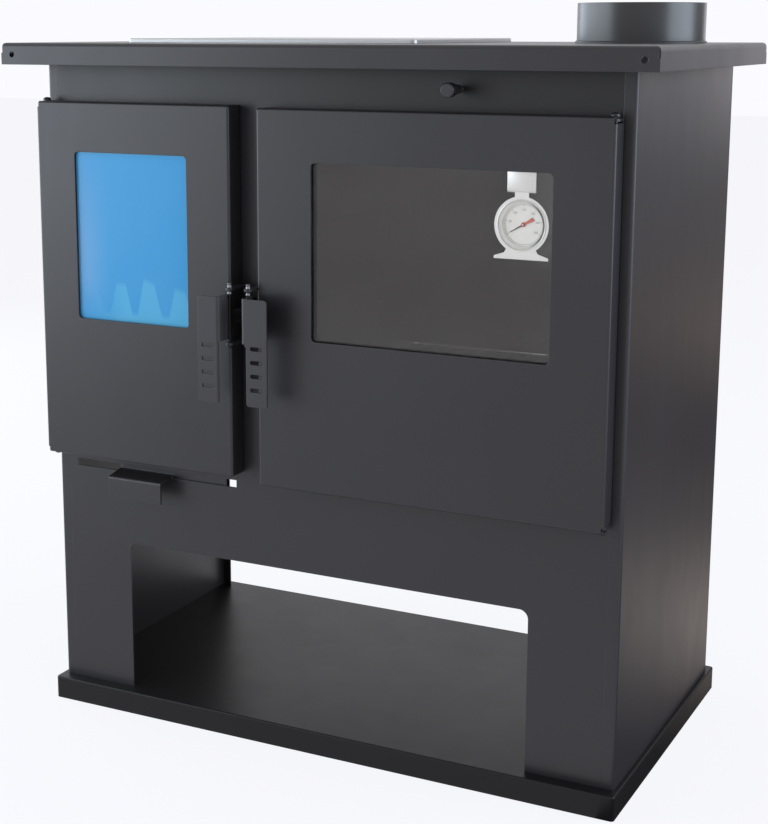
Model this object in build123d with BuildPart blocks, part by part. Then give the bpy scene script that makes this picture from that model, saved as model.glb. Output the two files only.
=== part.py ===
from build123d import *
from dataclasses import dataclass
import os

# Wood cookstove: a sheet-steel stove with a firebox on the left, an oven on the right, a wood
# store underneath and a cooking top with a flue socket.  Millimetres, +Z up, front towards -Y.
# The origin lies on the floor under the middle of the whole stove.

# ---------------------------------------------------------------- driving dimensions
body_width = 750.0          # outer width of the casing
body_depth = 398.0          # front face to rear face of the casing
top_height = 850.0          # upper face of the cooking top
sheet = 2.0                 # casing, doors, baffles
bend = 4.0                  # outer radius of the casing's folds
running_gap = 0.3           # between pieces that move past each other
pin_play = 0.05             # radial play of a pin in its hole
near = 0.01                 # how close an edge lies to the place it is looked for

plinth_width = 762.0
plinth_depth = 430.0
plinth_height = 29.0
plinth_front = 16.6         # plinth in front of the casing
plinth_flange = 16.0        # turned in under the plinth

top_width = 820.0
top_depth = 462.0
top_front = 45.0            # overhang in front of the casing
top_sheet = 4.0
top_lip = 26.0
lip_hole = 7.0              # towel-rail holes in the front lip
lip_hole_inset = 16.0       # from the end of the lip
lip_hole_drop = 14.0        # below the upper face

store_width = 538.0         # opening of the wood store
store_drop = 106.5          # opening's upper edge below the floor plate
store_radius = 11.0
floor_drop = 8.0            # underside of the floor plate below the fire door's lower edge
floor_sheet = 3.0

slot_left = 28.5            # air slot: from the casing's left side
slot_width = 235.5
slot_drop = 13.0            # slot's lower edge below the floor plate
slot_height = 9.5

door_depth = 27.0           # door's outer face in front of the panel
door_clear = 2.0            # door's rear edge in front of the panel
door_gap = 36.0             # between the two doors
fire_door_inset = 1.3       # from the casing's left side
fire_door_width = 273.7
fire_door_height = 442.0
fire_door_drop = 70.0       # door's upper edge below the cooking top
oven_door_inset = 13.0      # from the casing's right side
oven_door_height = 445.0
oven_door_drop = 72.0
window_height = 205.0
window_drop = 60.0          # from the door's top to the window
window_radius = 5.0
fire_window_margins = (55.0, 59.0)      # left and right of the window
oven_window_margins = (71.0, 67.0)
door_fold = 3.0             # outer radius of the doors' folds
door_notch = 7.0            # corner relief beside each hinge

hinge_inset = 6.2           # hinge axis inside the door's edge
hinge_forward = 13.0        # hinge axis in front of the panel
hinge_pin = 5.0
hinge_lug = 3.0             # lug thickness
hinge_boss = 5.3            # radius round the pin

glass = 4.0
glass_overlap = 10.0        # glass beyond the window on each side
gasket = 1.5
gasket_width = 8.0
frame_width = 22.0          # glass frame beyond the window
frame_sheet = 2.0
stud = 5.0
nut_flats = 8.0
nut_height = 4.0

seal_width = 10.0           # groove for the rope
seal_wall = 1.5
seal_hinge_inset = 18.0     # channel from the door's hinge edge
seal_free_inset = 14.0
seal_end_inset = 9.0        # channel from the door's top and bottom
seal_groove = 9.0           # depth of the groove

handle_reach = 60.0         # front of the handles in front of the panel
handle_width = 27.5
handle_height = 126.0
handle_drop = 217.5         # below the fire door's upper edge
handle_sheet = 2.0
handle_flange = 24.0        # folded back at the gap side
flange_height = 53.0
fire_grip_step = 1.0        # the slotted part stands this far inside the flange
oven_grip_step = 6.5
slot_length = 17.0
slot_size = 5.0
slot_pitch = 16.2
slot_count = 4
latch_rod = 5.0
latch_offset = 5.5          # rod axis beyond the door's edge
latch_forward = 38.0        # rod axis in front of the panel
latch_rise = 13.5           # rod above the handle
latch_ear = 3.0
tongue = 3.0
tongue_height = 15.0
tongue_drop = 18.0          # tongue's top below the handle's top
tongue_clear = 4.0          # tongue's end in front of the panel
keeper = 3.0
keeper_reach = 22.0
keeper_play = 0.5

firebox_wall = 3.0
firebox_side = 7.0          # air space between casing and firebox
firebox_depth = 345.0       # behind the front panel
firebox_over = 30.0         # firebox beyond the fire door's right edge
brick = 25.0
brick_height = 262.0
grate_rise = 133.0          # upper face of the firebox floor above the floor plate
grate_sheet = 6.0
grate_length = 230.0
grate_width = 170.0
grate_thickness = 14.0
grate_bars = 9
grate_seat = 8.0            # grate's rim on the firebox floor
guard_height = 42.0

ash_rise = 31.0             # underside of the ash pan above the floor plate
ash_height = 66.0
ash_length = 300.0
ash_wall = 1.5
ash_side_gap = 4.0
ash_set = 22.0              # ash pan's front behind the panel
pull_wire = 5.0
pull_half = 40.0
pull_reach = 16.0

oven_width = 355.0
oven_sill = 57.0            # oven's floor above its door's lower edge
oven_height = 355.0
oven_depth = 338.0
oven_wall = 2.0
rack_wire = 5.0
rack_rod = 3.2
rack_rods = 15
runner_levels = 3
runner_first = 56.5         # lowest runner above the oven's floor
runner_pitch = 95.0
runner = 9.0
runner_sheet = 1.5
runner_set = 20.0           # runners behind the panel
runner_short = 12.0         # and short of the oven's back
rack_play = 3.0
rack_short = 4.0
rack_bend = 12.0
cover_sheet = 3.0

knob_x = 177.5
knob_drop = 47.5            # below the cooking top
knob_reach = 39.0
knob_size = 16.0
damper_rod_size = 6.0
damper_offset = 9.0         # flue box's wall beside the rod's axis
damper_length = 110.0
damper_clear = (16.5, 7.5)  # damper above the covers and below the casing's upper edge
damper_set = 152.0          # damper's front end behind the panel
port_length = 85.0
port_margin = 10.0          # damper beyond the port, above and below
baffle_set = 138.0          # front baffle of the flue box behind the panel

flue_bore = 150.0
flue_wall = 1.5
flue_height = 47.0          # above the top
flue_x = 284.6
flue_back = 98.0            # flue axis in front of the casing's rear face
flue_stop = 4.0
weld = 1.0

hob_length = 390.0          # across the stove
hob_depth = 300.0
hob_left = 120.0            # from the top's left edge
hob_front = 95.0            # from the top's front edge
hob_rise = 5.0
hob_rim = 10.0
hob_thickness = 14.0
ring_size = 190.0
lid_size = 130.0
ring_step = 7.0
lid_x = 105.0               # ring's axis from the hob's left edge
ring_play = 0.6

tab_width = 77.0            # air slider's handle
tab_left = 93.0             # from the casing's left side
tab_sheet = 2.5
tab_reach = 26.0
tab_drop = 27.0
tab_slope = 4.5
slider_back = 70.0
slider_left = 75.0
slider_length = 185.0
lip_right = 16.5            # slider's lip short of the slot's right end

case_size = 56.0            # thermometer
face_size = 62.0
case_depth = 11.5
case_x = 38.0               # from the window's right edge
case_drop = 57.6            # from the window's top
plate_sheet = 0.8
hook_width = 32.0
neck_width = 16.0
foot_width = 62.0
foot_drop = 37.0
hook_leg = 9.0

# ---------------------------------------------------------------- places worked out from them
y_front = (handle_reach - (top_depth - top_front)) / 2     # outer face of the front panel
y_rear = y_front + body_depth
y_inside = y_front + sheet
x_left = -body_width / 2
x_right = body_width / 2
casing_top = top_height - top_sheet
fire_door_top = top_height - fire_door_drop
oven_door_top = top_height - oven_door_drop
floor_height = fire_door_top - fire_door_height - floor_drop
floor_top = floor_height + floor_sheet
store_top = floor_height - store_drop
slot_bottom = floor_height - slot_drop
grate_height = floor_top + grate_rise
ash_bottom = floor_top + ash_rise
oven_bottom = oven_door_top - oven_door_height + oven_sill
knob_height = top_height - knob_drop
handle_top = fire_door_top - handle_drop
face_y = y_front - door_depth
face_back = face_y + sheet
edge_y = y_front - door_clear


@dataclass
class Door:
    """One door: its folded pan's outer edges, its window and its hinge side (-1 left, 1 right)."""
    name: str
    left: float
    right: float
    bottom: float
    top: float
    margins: tuple
    hinge: int
    grip_step: float

    @property
    def window(self):
        """Left, right, bottom and top of the window."""
        top = self.top - window_drop
        return self.left + self.margins[0], self.right - self.margins[1], top - window_height, top

    @property
    def seal(self):
        """Outer edges of the seal channel."""
        inset_left = seal_hinge_inset if self.hinge < 0 else seal_free_inset
        inset_right = seal_hinge_inset if self.hinge > 0 else seal_free_inset
        return (self.left + inset_left, self.right - inset_right,
                self.bottom + seal_end_inset, self.top - seal_end_inset)

    @property
    def hinge_x(self):
        """Hinge axis."""
        return self.left + hinge_inset if self.hinge < 0 else self.right - hinge_inset

    @property
    def free_x(self):
        """Edge of the door at the latch."""
        return self.right if self.hinge < 0 else self.left


fire = Door("fire", x_left + fire_door_inset, x_left + fire_door_inset + fire_door_width,
            fire_door_top - fire_door_height, fire_door_top, fire_window_margins, -1,
            fire_grip_step)
oven = Door("oven", fire.right + door_gap, x_right - oven_door_inset,
            oven_door_top - oven_door_height, oven_door_top, oven_window_margins, 1,
            oven_grip_step)
doors = (fire, oven)
gap_middle = (fire.right + oven.left) / 2
seal_total = seal_width + 2 * seal_wall


# ---------------------------------------------------------------- small helpers
os.makedirs("parts", exist_ok=True)


def keep(piece, name):
    """Label a finished piece and write it to its own file."""
    piece.label = name
    export_step(piece, f"parts/{name}.step")


def inset(limits, amount):
    """Limits of a rectangle drawn in by an amount on every side."""
    a0, a1, b0, b1 = limits
    return a0 + amount, a1 - amount, b0 + amount, b1 - amount


def rect(a0, a1, b0, b1, radius=0.0, mode=Mode.ADD):
    """Add a rectangle to the sketch being drawn, between two limits each way."""
    with Locations(((a0 + a1) / 2, (b0 + b1) / 2)):
        if radius:
            RectangleRounded(a1 - a0, b1 - b0, radius, mode=mode)
        else:
            Rectangle(a1 - a0, b1 - b0, mode=mode)


def block(x0, x1, y0, y1, z0, z1, mode=Mode.ADD):
    """Add a rectangular block to the part being built, between its limits."""
    with BuildSketch(Plane.XY.offset(z0)) as outline:
        rect(x0, x1, y0, y1)
    extrude(outline.sketch, amount=z1 - z0, mode=mode)


def facing(y_back):
    """Upright plane whose extrusions run towards the front from a depth."""
    return Plane.XZ.offset(-y_back)


def panel(limits, y0, y1, radius=0.0, mode=Mode.ADD):
    """Add an upright plate, given as x and z limits, between two depths."""
    with BuildSketch(facing(y1)) as outline:
        rect(*limits, radius=radius)
    extrude(outline.sketch, amount=y1 - y0, mode=mode)


def rim(limits, width, y0, y1, radius=0.0):
    """Add an upright rectangular ring of a given width between two depths."""
    with BuildSketch(facing(y1)) as outline:
        rect(*limits, radius=radius)
        rect(*inset(limits, width), radius=max(radius - width, 0.0), mode=Mode.SUBTRACT)
    extrude(outline.sketch, amount=y1 - y0)


def rod(x, y, z0, z1, size, mode=Mode.ADD):
    """Add a round upright bar to the part being built."""
    with BuildSketch(Plane.XY.offset(z0)) as outline:
        with Locations((x, y)):
            Circle(size / 2)
    extrude(outline.sketch, amount=z1 - z0, mode=mode)


def bar(x, z, y0, y1, size, mode=Mode.ADD):
    """Add a round bar that runs from front to back."""
    with BuildSketch(facing(y1)) as outline:
        with Locations((x, z)):
            Circle(size / 2)
    extrude(outline.sketch, amount=y1 - y0, mode=mode)


# ---------------------------------------------------------------- plinth and casing
plinth_y0 = y_front - plinth_front
plinth_y1 = plinth_y0 + plinth_depth
half_plinth = plinth_width / 2
with BuildPart() as plinth:
    block(-half_plinth, half_plinth, plinth_y0, plinth_y1, 0, plinth_height)
    fillet(plinth.edges().filter_by(Axis.Z), bend)
    fillet(plinth.faces().sort_by(Axis.Z)[-1].edges(), sheet)
    block(-half_plinth + sheet, half_plinth - sheet, plinth_y0 + sheet, plinth_y1 - sheet,
          sheet, plinth_height - sheet, mode=Mode.SUBTRACT)
    block(-half_plinth + plinth_flange, half_plinth - plinth_flange, plinth_y0 + plinth_flange,
          plinth_y1 - plinth_flange, 0, sheet, mode=Mode.SUBTRACT)
keep(plinth.part, "plinth")

front_return = 10.5         # side panel's fold in the plane of the front panel
rear_return = 16.0
screw_shift = 1.0           # screws' line beside the middle of the rear fold
screw_size = 3.5
screw_steps = (0.25, 1.5, 2.5, 3.75)    # in quarters of the back panel's height
return_x = x_left + bend + front_return
with BuildPart() as side_panel_left:
    with BuildSketch(Plane.XY.offset(plinth_height)):
        rect(x_left, return_x, y_front, y_rear)
        rect(x_left + sheet, return_x, y_inside, y_rear - sheet, mode=Mode.SUBTRACT)
        rect(x_left + rear_return, return_x, y_rear - sheet, y_rear, mode=Mode.SUBTRACT)
    extrude(amount=casing_top - plinth_height)
    outer_folds = side_panel_left.edges().filter_by(Axis.Z).group_by(Axis.X)[0]
    fillet(outer_folds, bend)
    inner_folds = side_panel_left.edges().filter_by(Axis.Z).filter_by_position(
        Axis.X, x_left + sheet - near, x_left + sheet + near)
    fillet(inner_folds, bend - sheet)
    screw_x = x_left + (rear_return + bend) / 2 - screw_shift
    screw_heights = [floor_top + step * (casing_top - floor_top) / 4 for step in screw_steps]
    for height in screw_heights:
        bar(screw_x, height, y_rear - sheet, y_rear, screw_size + 2 * pin_play, mode=Mode.SUBTRACT)
keep(side_panel_left.part, "side_panel_left")

with BuildPart() as side_panel_right:
    add(side_panel_left.part)
    mirror(about=Plane.YZ, mode=Mode.REPLACE)
keep(side_panel_right.part, "side_panel_right")

opening_inset = 3.0         # opening inside the seal channel
oven_set = 7.0              # oven's left wall inside the seal channel
fire_inner = inset(fire.seal, seal_total)
oven_inner = inset(oven.seal, seal_total)
fire_opening = inset(fire_inner, opening_inset)
oven_left = oven_inner[0] + oven_set
oven_right = oven_left + oven_width
oven_top = oven_bottom + oven_height
oven_opening = (oven_left, oven_right, oven_bottom, oven_top)
slot_x0 = x_left + slot_left
slot_x1 = slot_x0 + slot_width
with BuildPart() as front_panel:
    with BuildSketch(facing(y_inside)):
        rect(return_x, -return_x, plinth_height, casing_top)
        rect(*fire_opening, radius=window_radius, mode=Mode.SUBTRACT)
        rect(*oven_opening, radius=window_radius, mode=Mode.SUBTRACT)
        rect(slot_x0, slot_x1, slot_bottom, slot_bottom + slot_height, mode=Mode.SUBTRACT)
        rect(-store_width / 2, store_width / 2, plinth_height - store_radius, store_top,
             radius=store_radius, mode=Mode.SUBTRACT)
        with Locations((knob_x, knob_height)):
            Circle(damper_rod_size / 2 + pin_play, mode=Mode.SUBTRACT)
    extrude(amount=sheet)
keep(front_panel.part, "front_panel")

back_y0 = y_rear - 2 * sheet
back_x = x_left + bend + running_gap
with BuildPart() as back_panel:
    panel((back_x, -back_x, floor_height, casing_top), back_y0, y_rear - sheet)
    for side in (-1, 1):
        for height in screw_heights:
            bar(side * screw_x, height, back_y0, y_rear - sheet, screw_size + 2 * pin_play,
                mode=Mode.SUBTRACT)
keep(back_panel.part, "back_panel")

screw_head = 7.0
head_height = 2.2
head_round = 1.2
screw_end = 6.0             # in front of the back panel
with BuildPart() as back_panel_screws:
    for side in (-1, 1):
        for height in screw_heights:
            with BuildSketch(facing(y_rear + head_height)):
                with Locations((side * screw_x, height)):
                    Circle(screw_head / 2)
            extrude(amount=head_height)
            bar(side * screw_x, height, back_y0 - screw_end, y_rear, screw_size)
    fillet(back_panel_screws.edges().group_by(Axis.Y)[-1], head_round)
keep(back_panel_screws.part, "back_panel_screws")

# ---------------------------------------------------------------- cooking top
top_y0 = y_front - top_front
top_y1 = top_y0 + top_depth
half_top = top_width / 2
top_fold = 5.5
hob_x0 = -half_top + hob_left
hob_x1 = hob_x0 + hob_length
hob_y0 = top_y0 + hob_front
hob_y1 = hob_y0 + hob_depth
hob_top = top_height + hob_rise
lid_axis = (hob_x0 + lid_x, (hob_y0 + hob_y1) / 2)
flue_y = y_rear - flue_back
flue_r = flue_bore / 2 + flue_wall
relief = 2.2                # slit left at each corner of the folded lip
relief_rise = 3             # slit's height above the fold, in its own half-widths
with BuildPart() as top_plate:
    block(-half_top, half_top, top_y0, top_y1, top_height - top_lip, top_height)
    fillet(top_plate.faces().sort_by(Axis.Z)[-1].edges(), top_fold)
    block(-half_top + top_sheet, half_top - top_sheet, top_y0 + top_sheet, top_y1 - top_sheet,
          top_height - top_lip, casing_top, mode=Mode.SUBTRACT)
    for side_x in (-1, 1):
        for corner_y in (top_y0, top_y1):
            block(side_x * half_top - relief, side_x * half_top + relief, corner_y - relief,
                  corner_y + relief, top_height - relief_rise * relief - top_fold, top_height, mode=Mode.SUBTRACT)
    block(hob_x0 + hob_rim, hob_x1 - hob_rim, hob_y0 + hob_rim, hob_y1 - hob_rim,
          casing_top, top_height, mode=Mode.SUBTRACT)
    rod(flue_x, flue_y, casing_top, top_height, 2 * (flue_r + pin_play), mode=Mode.SUBTRACT)
    for side_x in (-1, 1):
        bar(side_x * (half_top - lip_hole_inset), top_height - lip_hole_drop, top_y0,
            top_y0 + top_sheet, lip_hole, mode=Mode.SUBTRACT)
keep(top_plate.part, "top_plate")

hob_corner = 6.0
hob_chamfer = 1.0
ring_thickness = 7.0
lid_thickness = 5.0
spigot = 5.0                # ring and lid below the ring's seat
notch_depth = 4.0
notch_size = (18.0, 8.0)
notch_share = 0.3           # notch in front of the lid's axis, of the lid's size
ring_bottom = hob_top - ring_thickness
spigot_bottom = ring_bottom - spigot
with BuildPart() as hob_plate:
    block(hob_x0, hob_x1, hob_y0, hob_y1, top_height, hob_top)
    fillet(hob_plate.edges().filter_by(Axis.Z), hob_corner)
    chamfer(hob_plate.faces().sort_by(Axis.Z)[-1].edges(), hob_chamfer)
    block(hob_x0 + hob_rim + running_gap, hob_x1 - hob_rim - running_gap, hob_y0 + hob_rim + running_gap,
          hob_y1 - hob_rim - running_gap, hob_top - hob_thickness, top_height)
    rod(*lid_axis, ring_bottom, hob_top, ring_size, mode=Mode.SUBTRACT)
    rod(*lid_axis, hob_top - hob_thickness, hob_top, ring_size - 2 * ring_step, mode=Mode.SUBTRACT)
keep(hob_plate.part, "hob_plate")


def lifting_notch(x, y, z_top):
    """Cut the small pocket that takes the end of a lid lifter."""
    with BuildSketch(Plane.XY.offset(z_top - notch_depth)) as outline:
        with Locations((x, y)):
            SlotOverall(*notch_size)
    extrude(outline.sketch, amount=notch_depth, mode=Mode.SUBTRACT)


lid_bottom = hob_top - lid_thickness
with BuildPart() as hob_ring:
    rod(*lid_axis, ring_bottom, hob_top, ring_size - 2 * ring_play)
    rod(*lid_axis, spigot_bottom, ring_bottom, ring_size - 2 * ring_step - 2 * ring_play)
    rod(*lid_axis, lid_bottom, hob_top, lid_size, mode=Mode.SUBTRACT)
    rod(*lid_axis, spigot_bottom, hob_top, lid_size - 2 * ring_step, mode=Mode.SUBTRACT)
keep(hob_ring.part, "hob_ring")

with BuildPart() as hob_lid:
    rod(*lid_axis, lid_bottom, hob_top, lid_size - 2 * ring_play)
    rod(*lid_axis, spigot_bottom, lid_bottom, lid_size - 2 * ring_step - 2 * ring_play)
    lifting_notch(lid_axis[0], lid_axis[1] - notch_share * lid_size, hob_top)
keep(hob_lid.part, "hob_lid")

weld_height = 1.5 * weld
weld_round = 0.9 * weld
with BuildPart() as flue_collar:
    rod(flue_x, flue_y, casing_top - flue_stop, top_height + flue_height, 2 * flue_r)
    rod(flue_x, flue_y, casing_top, top_height + flue_height, flue_bore, mode=Mode.SUBTRACT)
    rod(flue_x, flue_y, casing_top - flue_stop, casing_top, flue_bore - 2 * flue_stop, mode=Mode.SUBTRACT)
    with BuildSketch(Plane.XY.offset(top_height)):
        with Locations((flue_x, flue_y)):
            Circle(flue_r + weld)
            Circle(flue_r - flue_wall / 2, mode=Mode.SUBTRACT)
    extrude(amount=weld_height)
    fillet(flue_collar.edges().filter_by(GeomType.CIRCLE).filter_by_position(
        Axis.Z, top_height + weld_height - near, top_height + weld_height + near).sort_by(SortBy.RADIUS)[-1],
        weld_round)
keep(flue_collar.part, "flue_collar")

# ---------------------------------------------------------------- floor plate and air slider
inside_left = x_left + sheet
inside_right = x_right - sheet
slider_set = 4.0            # slider's plate behind the front panel
slider_y0 = y_inside + slider_set
slider_x0 = x_left + slider_left
slider_x1 = slider_x0 + slider_length
slider_top = floor_height - running_gap
slider_bottom = slider_top - tab_sheet
air_holes = 3
air_hole = (34.0, 26.0)
air_hole_corner = 6.0
air_pitch = 56.0
air_x = (slider_x0 + slider_x1) / 2
air_y = (slider_y0 + y_inside + slider_back) / 2
with BuildPart() as floor_plate:
    block(inside_left, inside_right, y_inside, back_y0, floor_height, floor_top)
    fillet(floor_plate.edges().filter_by(Axis.Z), bend)
    with BuildSketch(Plane.XY.offset(floor_height)):
        with Locations((air_x, air_y)):
            with GridLocations(air_pitch, 1, air_holes, 1):
                RectangleRounded(*air_hole, air_hole_corner)
    extrude(amount=floor_sheet, mode=Mode.SUBTRACT)
keep(floor_plate.part, "floor_plate")

tab_rise = 1.0              # tab's underside above the slot's lower edge
tab_root = 2.0              # tab's first bend in front of the panel
tab_inner_bend = 1.0
tab_outer_bends = (0.8, 3.0, 3.0)
lip_below = 5.0             # lip below the slot's lower edge
tab_x0 = x_left + tab_left
tab_x1 = tab_x0 + tab_width
tab_top = slot_bottom + tab_rise + tab_sheet
lip_y0 = y_inside + running_gap
with BuildPart() as air_slider:
    block(slider_x0, slider_x1, slider_y0, y_inside + slider_back, slider_bottom, slider_top)
    with BuildSketch(Plane.XY.offset(slider_bottom)):
        with Locations((air_x - air_pitch / 4, air_y)):
            with GridLocations(air_pitch, 1, air_holes, 1):
                RectangleRounded(*air_hole, air_hole_corner)
    extrude(amount=tab_sheet, mode=Mode.SUBTRACT)
    block(tab_x0, slot_x1 - lip_right, lip_y0, slider_y0, slider_bottom, slider_top)
    block(tab_x1, slot_x1 - lip_right, lip_y0, lip_y0 + sheet, slot_bottom - lip_below, slider_top)
    with BuildSketch(Plane.YZ.offset(tab_x0)):
        with BuildLine():
            outer = FilletPolyline(
                (lip_y0 + sheet, slider_top), (lip_y0 + sheet, tab_top - tab_sheet),
                (y_front - tab_root, tab_top - tab_sheet),
                (y_front - tab_reach + tab_sheet, tab_top - tab_slope - tab_sheet),
                (y_front - tab_reach + tab_sheet, tab_top - tab_slope - tab_drop), radius=tab_inner_bend)
            inner = FilletPolyline(
                (lip_y0, slider_top), (lip_y0, tab_top), (y_front - tab_root, tab_top),
                (y_front - tab_reach, tab_top - tab_slope),
                (y_front - tab_reach, tab_top - tab_slope - tab_drop), radius=tab_outer_bends)
            Line(outer @ 0, inner @ 0)
            Line(outer @ 1, inner @ 1)
        make_face()
    extrude(amount=tab_width)
keep(air_slider.part, "air_slider")

hanger_sheet = 3.0
hanger_width = 12.0
hanger_inset = 4.0          # from the casing's left side
hanger_over = 50.0          # beyond the firebox
hanger_set = 3.0            # inside the slider's front and rear edges
hanger_ends = (inside_left + hanger_inset, fire.right + firebox_over + hanger_over)
with BuildPart() as slider_guides:
    for y0 in (slider_y0 + hanger_set, y_inside + slider_back - hanger_width - hanger_set):
        block(hanger_ends[0], hanger_ends[1], y0, y0 + hanger_width,
              slider_bottom - running_gap - hanger_sheet, slider_bottom - running_gap)
        for x0 in (hanger_ends[0], hanger_ends[1] - hanger_sheet):
            block(x0, x0 + hanger_sheet, y0, y0 + hanger_width, slider_bottom - running_gap, floor_height)
keep(slider_guides.part, "slider_guides")

# ---------------------------------------------------------------- firebox
box_left = inside_left + firebox_side
box_right = fire.right + firebox_over
box_back = y_inside + firebox_depth
oven_roof = oven_top + oven_wall
hearth_x0 = box_left + firebox_wall
hearth_x1 = box_right - firebox_wall
hearth_y1 = box_back - firebox_wall
grate_x = (hearth_x0 + hearth_x1) / 2
grate_y = (y_inside + hearth_y1 - brick) / 2
with BuildPart() as firebox_shell:
    block(box_left, box_left + firebox_wall, y_inside, box_back, floor_top, casing_top)
    block(box_left, box_right, box_back - firebox_wall, box_back, floor_top, casing_top)
    block(box_right - firebox_wall, box_right, y_inside, back_y0, floor_top, oven_roof)
    block(box_right - firebox_wall, box_right, box_back - firebox_wall, back_y0, floor_top, casing_top)
    block(hearth_x0, hearth_x1, y_inside, hearth_y1, grate_height - grate_sheet, grate_height)
    block(grate_x - grate_width / 2 + grate_seat, grate_x + grate_width / 2 - grate_seat,
          grate_y - grate_length / 2 + grate_seat, grate_y + grate_length / 2 - grate_seat,
          grate_height - grate_sheet, grate_height, mode=Mode.SUBTRACT)
keep(firebox_shell.part, "firebox_shell")

bar_pitch = grate_width / grate_bars
grate_corner = 8.0
grate_play = 1.0
grate_rib = 8.0             # half of it on each side of the middle rib
grate_slot_short = 22.0
grate_slot_share = 0.55     # of the bars' pitch
with BuildPart() as grate:
    block(grate_x - grate_width / 2, grate_x + grate_width / 2, grate_y - grate_length / 2,
          grate_y + grate_length / 2, grate_height, grate_height + grate_thickness)
    fillet(grate.edges().filter_by(Axis.Z), grate_corner)
    seat = grate_seat + grate_play
    block(grate_x - grate_width / 2 + seat, grate_x + grate_width / 2 - seat,
          grate_y - grate_length / 2 + seat, grate_y + grate_length / 2 - seat,
          grate_height - grate_sheet, grate_height)
    with BuildSketch(Plane.XY.offset(grate_height - grate_sheet)):
        with Locations((grate_x, grate_y)):
            with GridLocations(bar_pitch, grate_length / 2 - grate_rib, grate_bars - 2, 2):
                SlotOverall(grate_length / 2 - grate_slot_short, grate_slot_share * bar_pitch, rotation=90)
    extrude(amount=grate_sheet + grate_thickness, mode=Mode.SUBTRACT)
keep(grate.part, "grate")

brick_set = 8.0             # side bricks behind the front panel
brick_chamfer = 6.0
brick_top = grate_height + brick_height
with BuildPart() as firebrick_left:
    block(hearth_x0, hearth_x0 + brick, y_inside + brick_set, hearth_y1 - brick, grate_height, brick_top)
    chamfer(firebrick_left.edges().filter_by(Axis.Y).group_by(Axis.Z)[-1].sort_by(Axis.X)[-1],
            brick_chamfer)
keep(firebrick_left.part, "firebrick_left")

with BuildPart() as firebrick_right:
    block(hearth_x1 - brick, hearth_x1, y_inside + brick_set, hearth_y1 - brick, grate_height, brick_top)
    chamfer(firebrick_right.edges().filter_by(Axis.Y).group_by(Axis.Z)[-1].sort_by(Axis.X)[0],
            brick_chamfer)
keep(firebrick_right.part, "firebrick_right")

with BuildPart() as firebrick_back:
    block(hearth_x0, hearth_x1, hearth_y1 - brick, hearth_y1, grate_height, brick_top)
    chamfer(firebrick_back.edges().filter_by(Axis.X).group_by(Axis.Z)[-1].sort_by(Axis.Y)[0],
            brick_chamfer)
keep(firebrick_back.part, "firebrick_back")

guard_sheet = 2.5
guard_foot = 8.0
guard_slots = (0.22, 0.5, 0.78)         # middles of its slots, of the hearth's width
guard_slot_length = 48.0
guard_slot_levels = (14.0, 24.0)
guard_slot_corner = 4.9
with BuildPart() as fire_guard:
    block(hearth_x0, hearth_x1, y_inside, y_inside + guard_sheet, grate_height, grate_height + guard_height)
    block(hearth_x0, hearth_x1, y_inside, y_inside + guard_foot, grate_height, grate_height + guard_sheet)
    for share in guard_slots:
        middle = hearth_x0 + share * (hearth_x1 - hearth_x0)
        panel((middle - guard_slot_length / 2, middle + guard_slot_length / 2,
               grate_height + guard_slot_levels[0], grate_height + guard_slot_levels[1]), y_inside,
              y_inside + guard_sheet, radius=guard_slot_corner, mode=Mode.SUBTRACT)
keep(fire_guard.part, "fire_guard")

ash_x0 = fire_opening[0] + ash_side_gap
ash_x1 = fire_opening[1] - ash_side_gap
ash_y0 = y_front + ash_set
ash_y1 = ash_y0 + ash_length
ash_x = (ash_x0 + ash_x1) / 2
ash_corner = 6.0
ash_lip = 5.0               # lip in front of the ash pan
ash_lip_inset = 8.0
pull_share = 0.55           # pull's height, of the ash pan's
pull_bend = 8.0
handle_z = ash_bottom + pull_share * ash_height
with BuildPart() as ash_pan:
    block(ash_x0, ash_x1, ash_y0, ash_y1, ash_bottom, ash_bottom + ash_height)
    fillet(ash_pan.edges().filter_by(Axis.Z), ash_corner)
    offset(amount=-ash_wall, openings=ash_pan.faces().sort_by(Axis.Z)[-1])
    block(ash_x0 + ash_lip_inset, ash_x1 - ash_lip_inset, ash_y0 - ash_lip, ash_y0 + ash_wall / 2,
          ash_bottom + ash_height - ash_wall, ash_bottom + ash_height)
    with BuildLine() as bail:
        FilletPolyline(
            (ash_x - pull_half, ash_y0 + ash_wall / 2, handle_z),
            (ash_x - pull_half, ash_y0 - pull_reach, handle_z),
            (ash_x + pull_half, ash_y0 - pull_reach, handle_z),
            (ash_x + pull_half, ash_y0 + ash_wall / 2, handle_z), radius=pull_bend)
    with BuildSketch(facing(ash_y0 + ash_wall / 2)) as wire:
        with Locations((ash_x - pull_half, handle_z)):
            Circle(pull_wire / 2)
    sweep(wire.sketch, path=bail.line)
keep(ash_pan.part, "ash_pan")

ash_runner_sheet = 2.0
ash_runner_play = 0.5
ash_runner_tread = 12.0     # under the ash pan
ash_runner_guide = 12.0     # above the ash pan's underside
ash_runner_set = 4.0        # behind the front panel
ash_runner_over = 8.0       # beyond the ash pan's rear end
with BuildPart() as ash_pan_runners:
    for inner_x, turn in ((ash_x0, -1), (ash_x1, 1)):
        outer_x = inner_x + turn * (ash_runner_play + ash_runner_sheet)
        x0, x1 = sorted((inner_x + turn * ash_runner_play, outer_x))
        block(x0, x1, y_inside + ash_runner_set, ash_y1 + ash_runner_over, floor_top,
              ash_bottom + ash_runner_guide)
        x0, x1 = sorted((outer_x, inner_x - turn * ash_runner_tread))
        block(x0, x1, y_inside + ash_runner_set, ash_y1 + ash_runner_over, ash_bottom - ash_runner_sheet,
              ash_bottom)
keep(ash_pan_runners.part, "ash_pan_runners")

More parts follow.
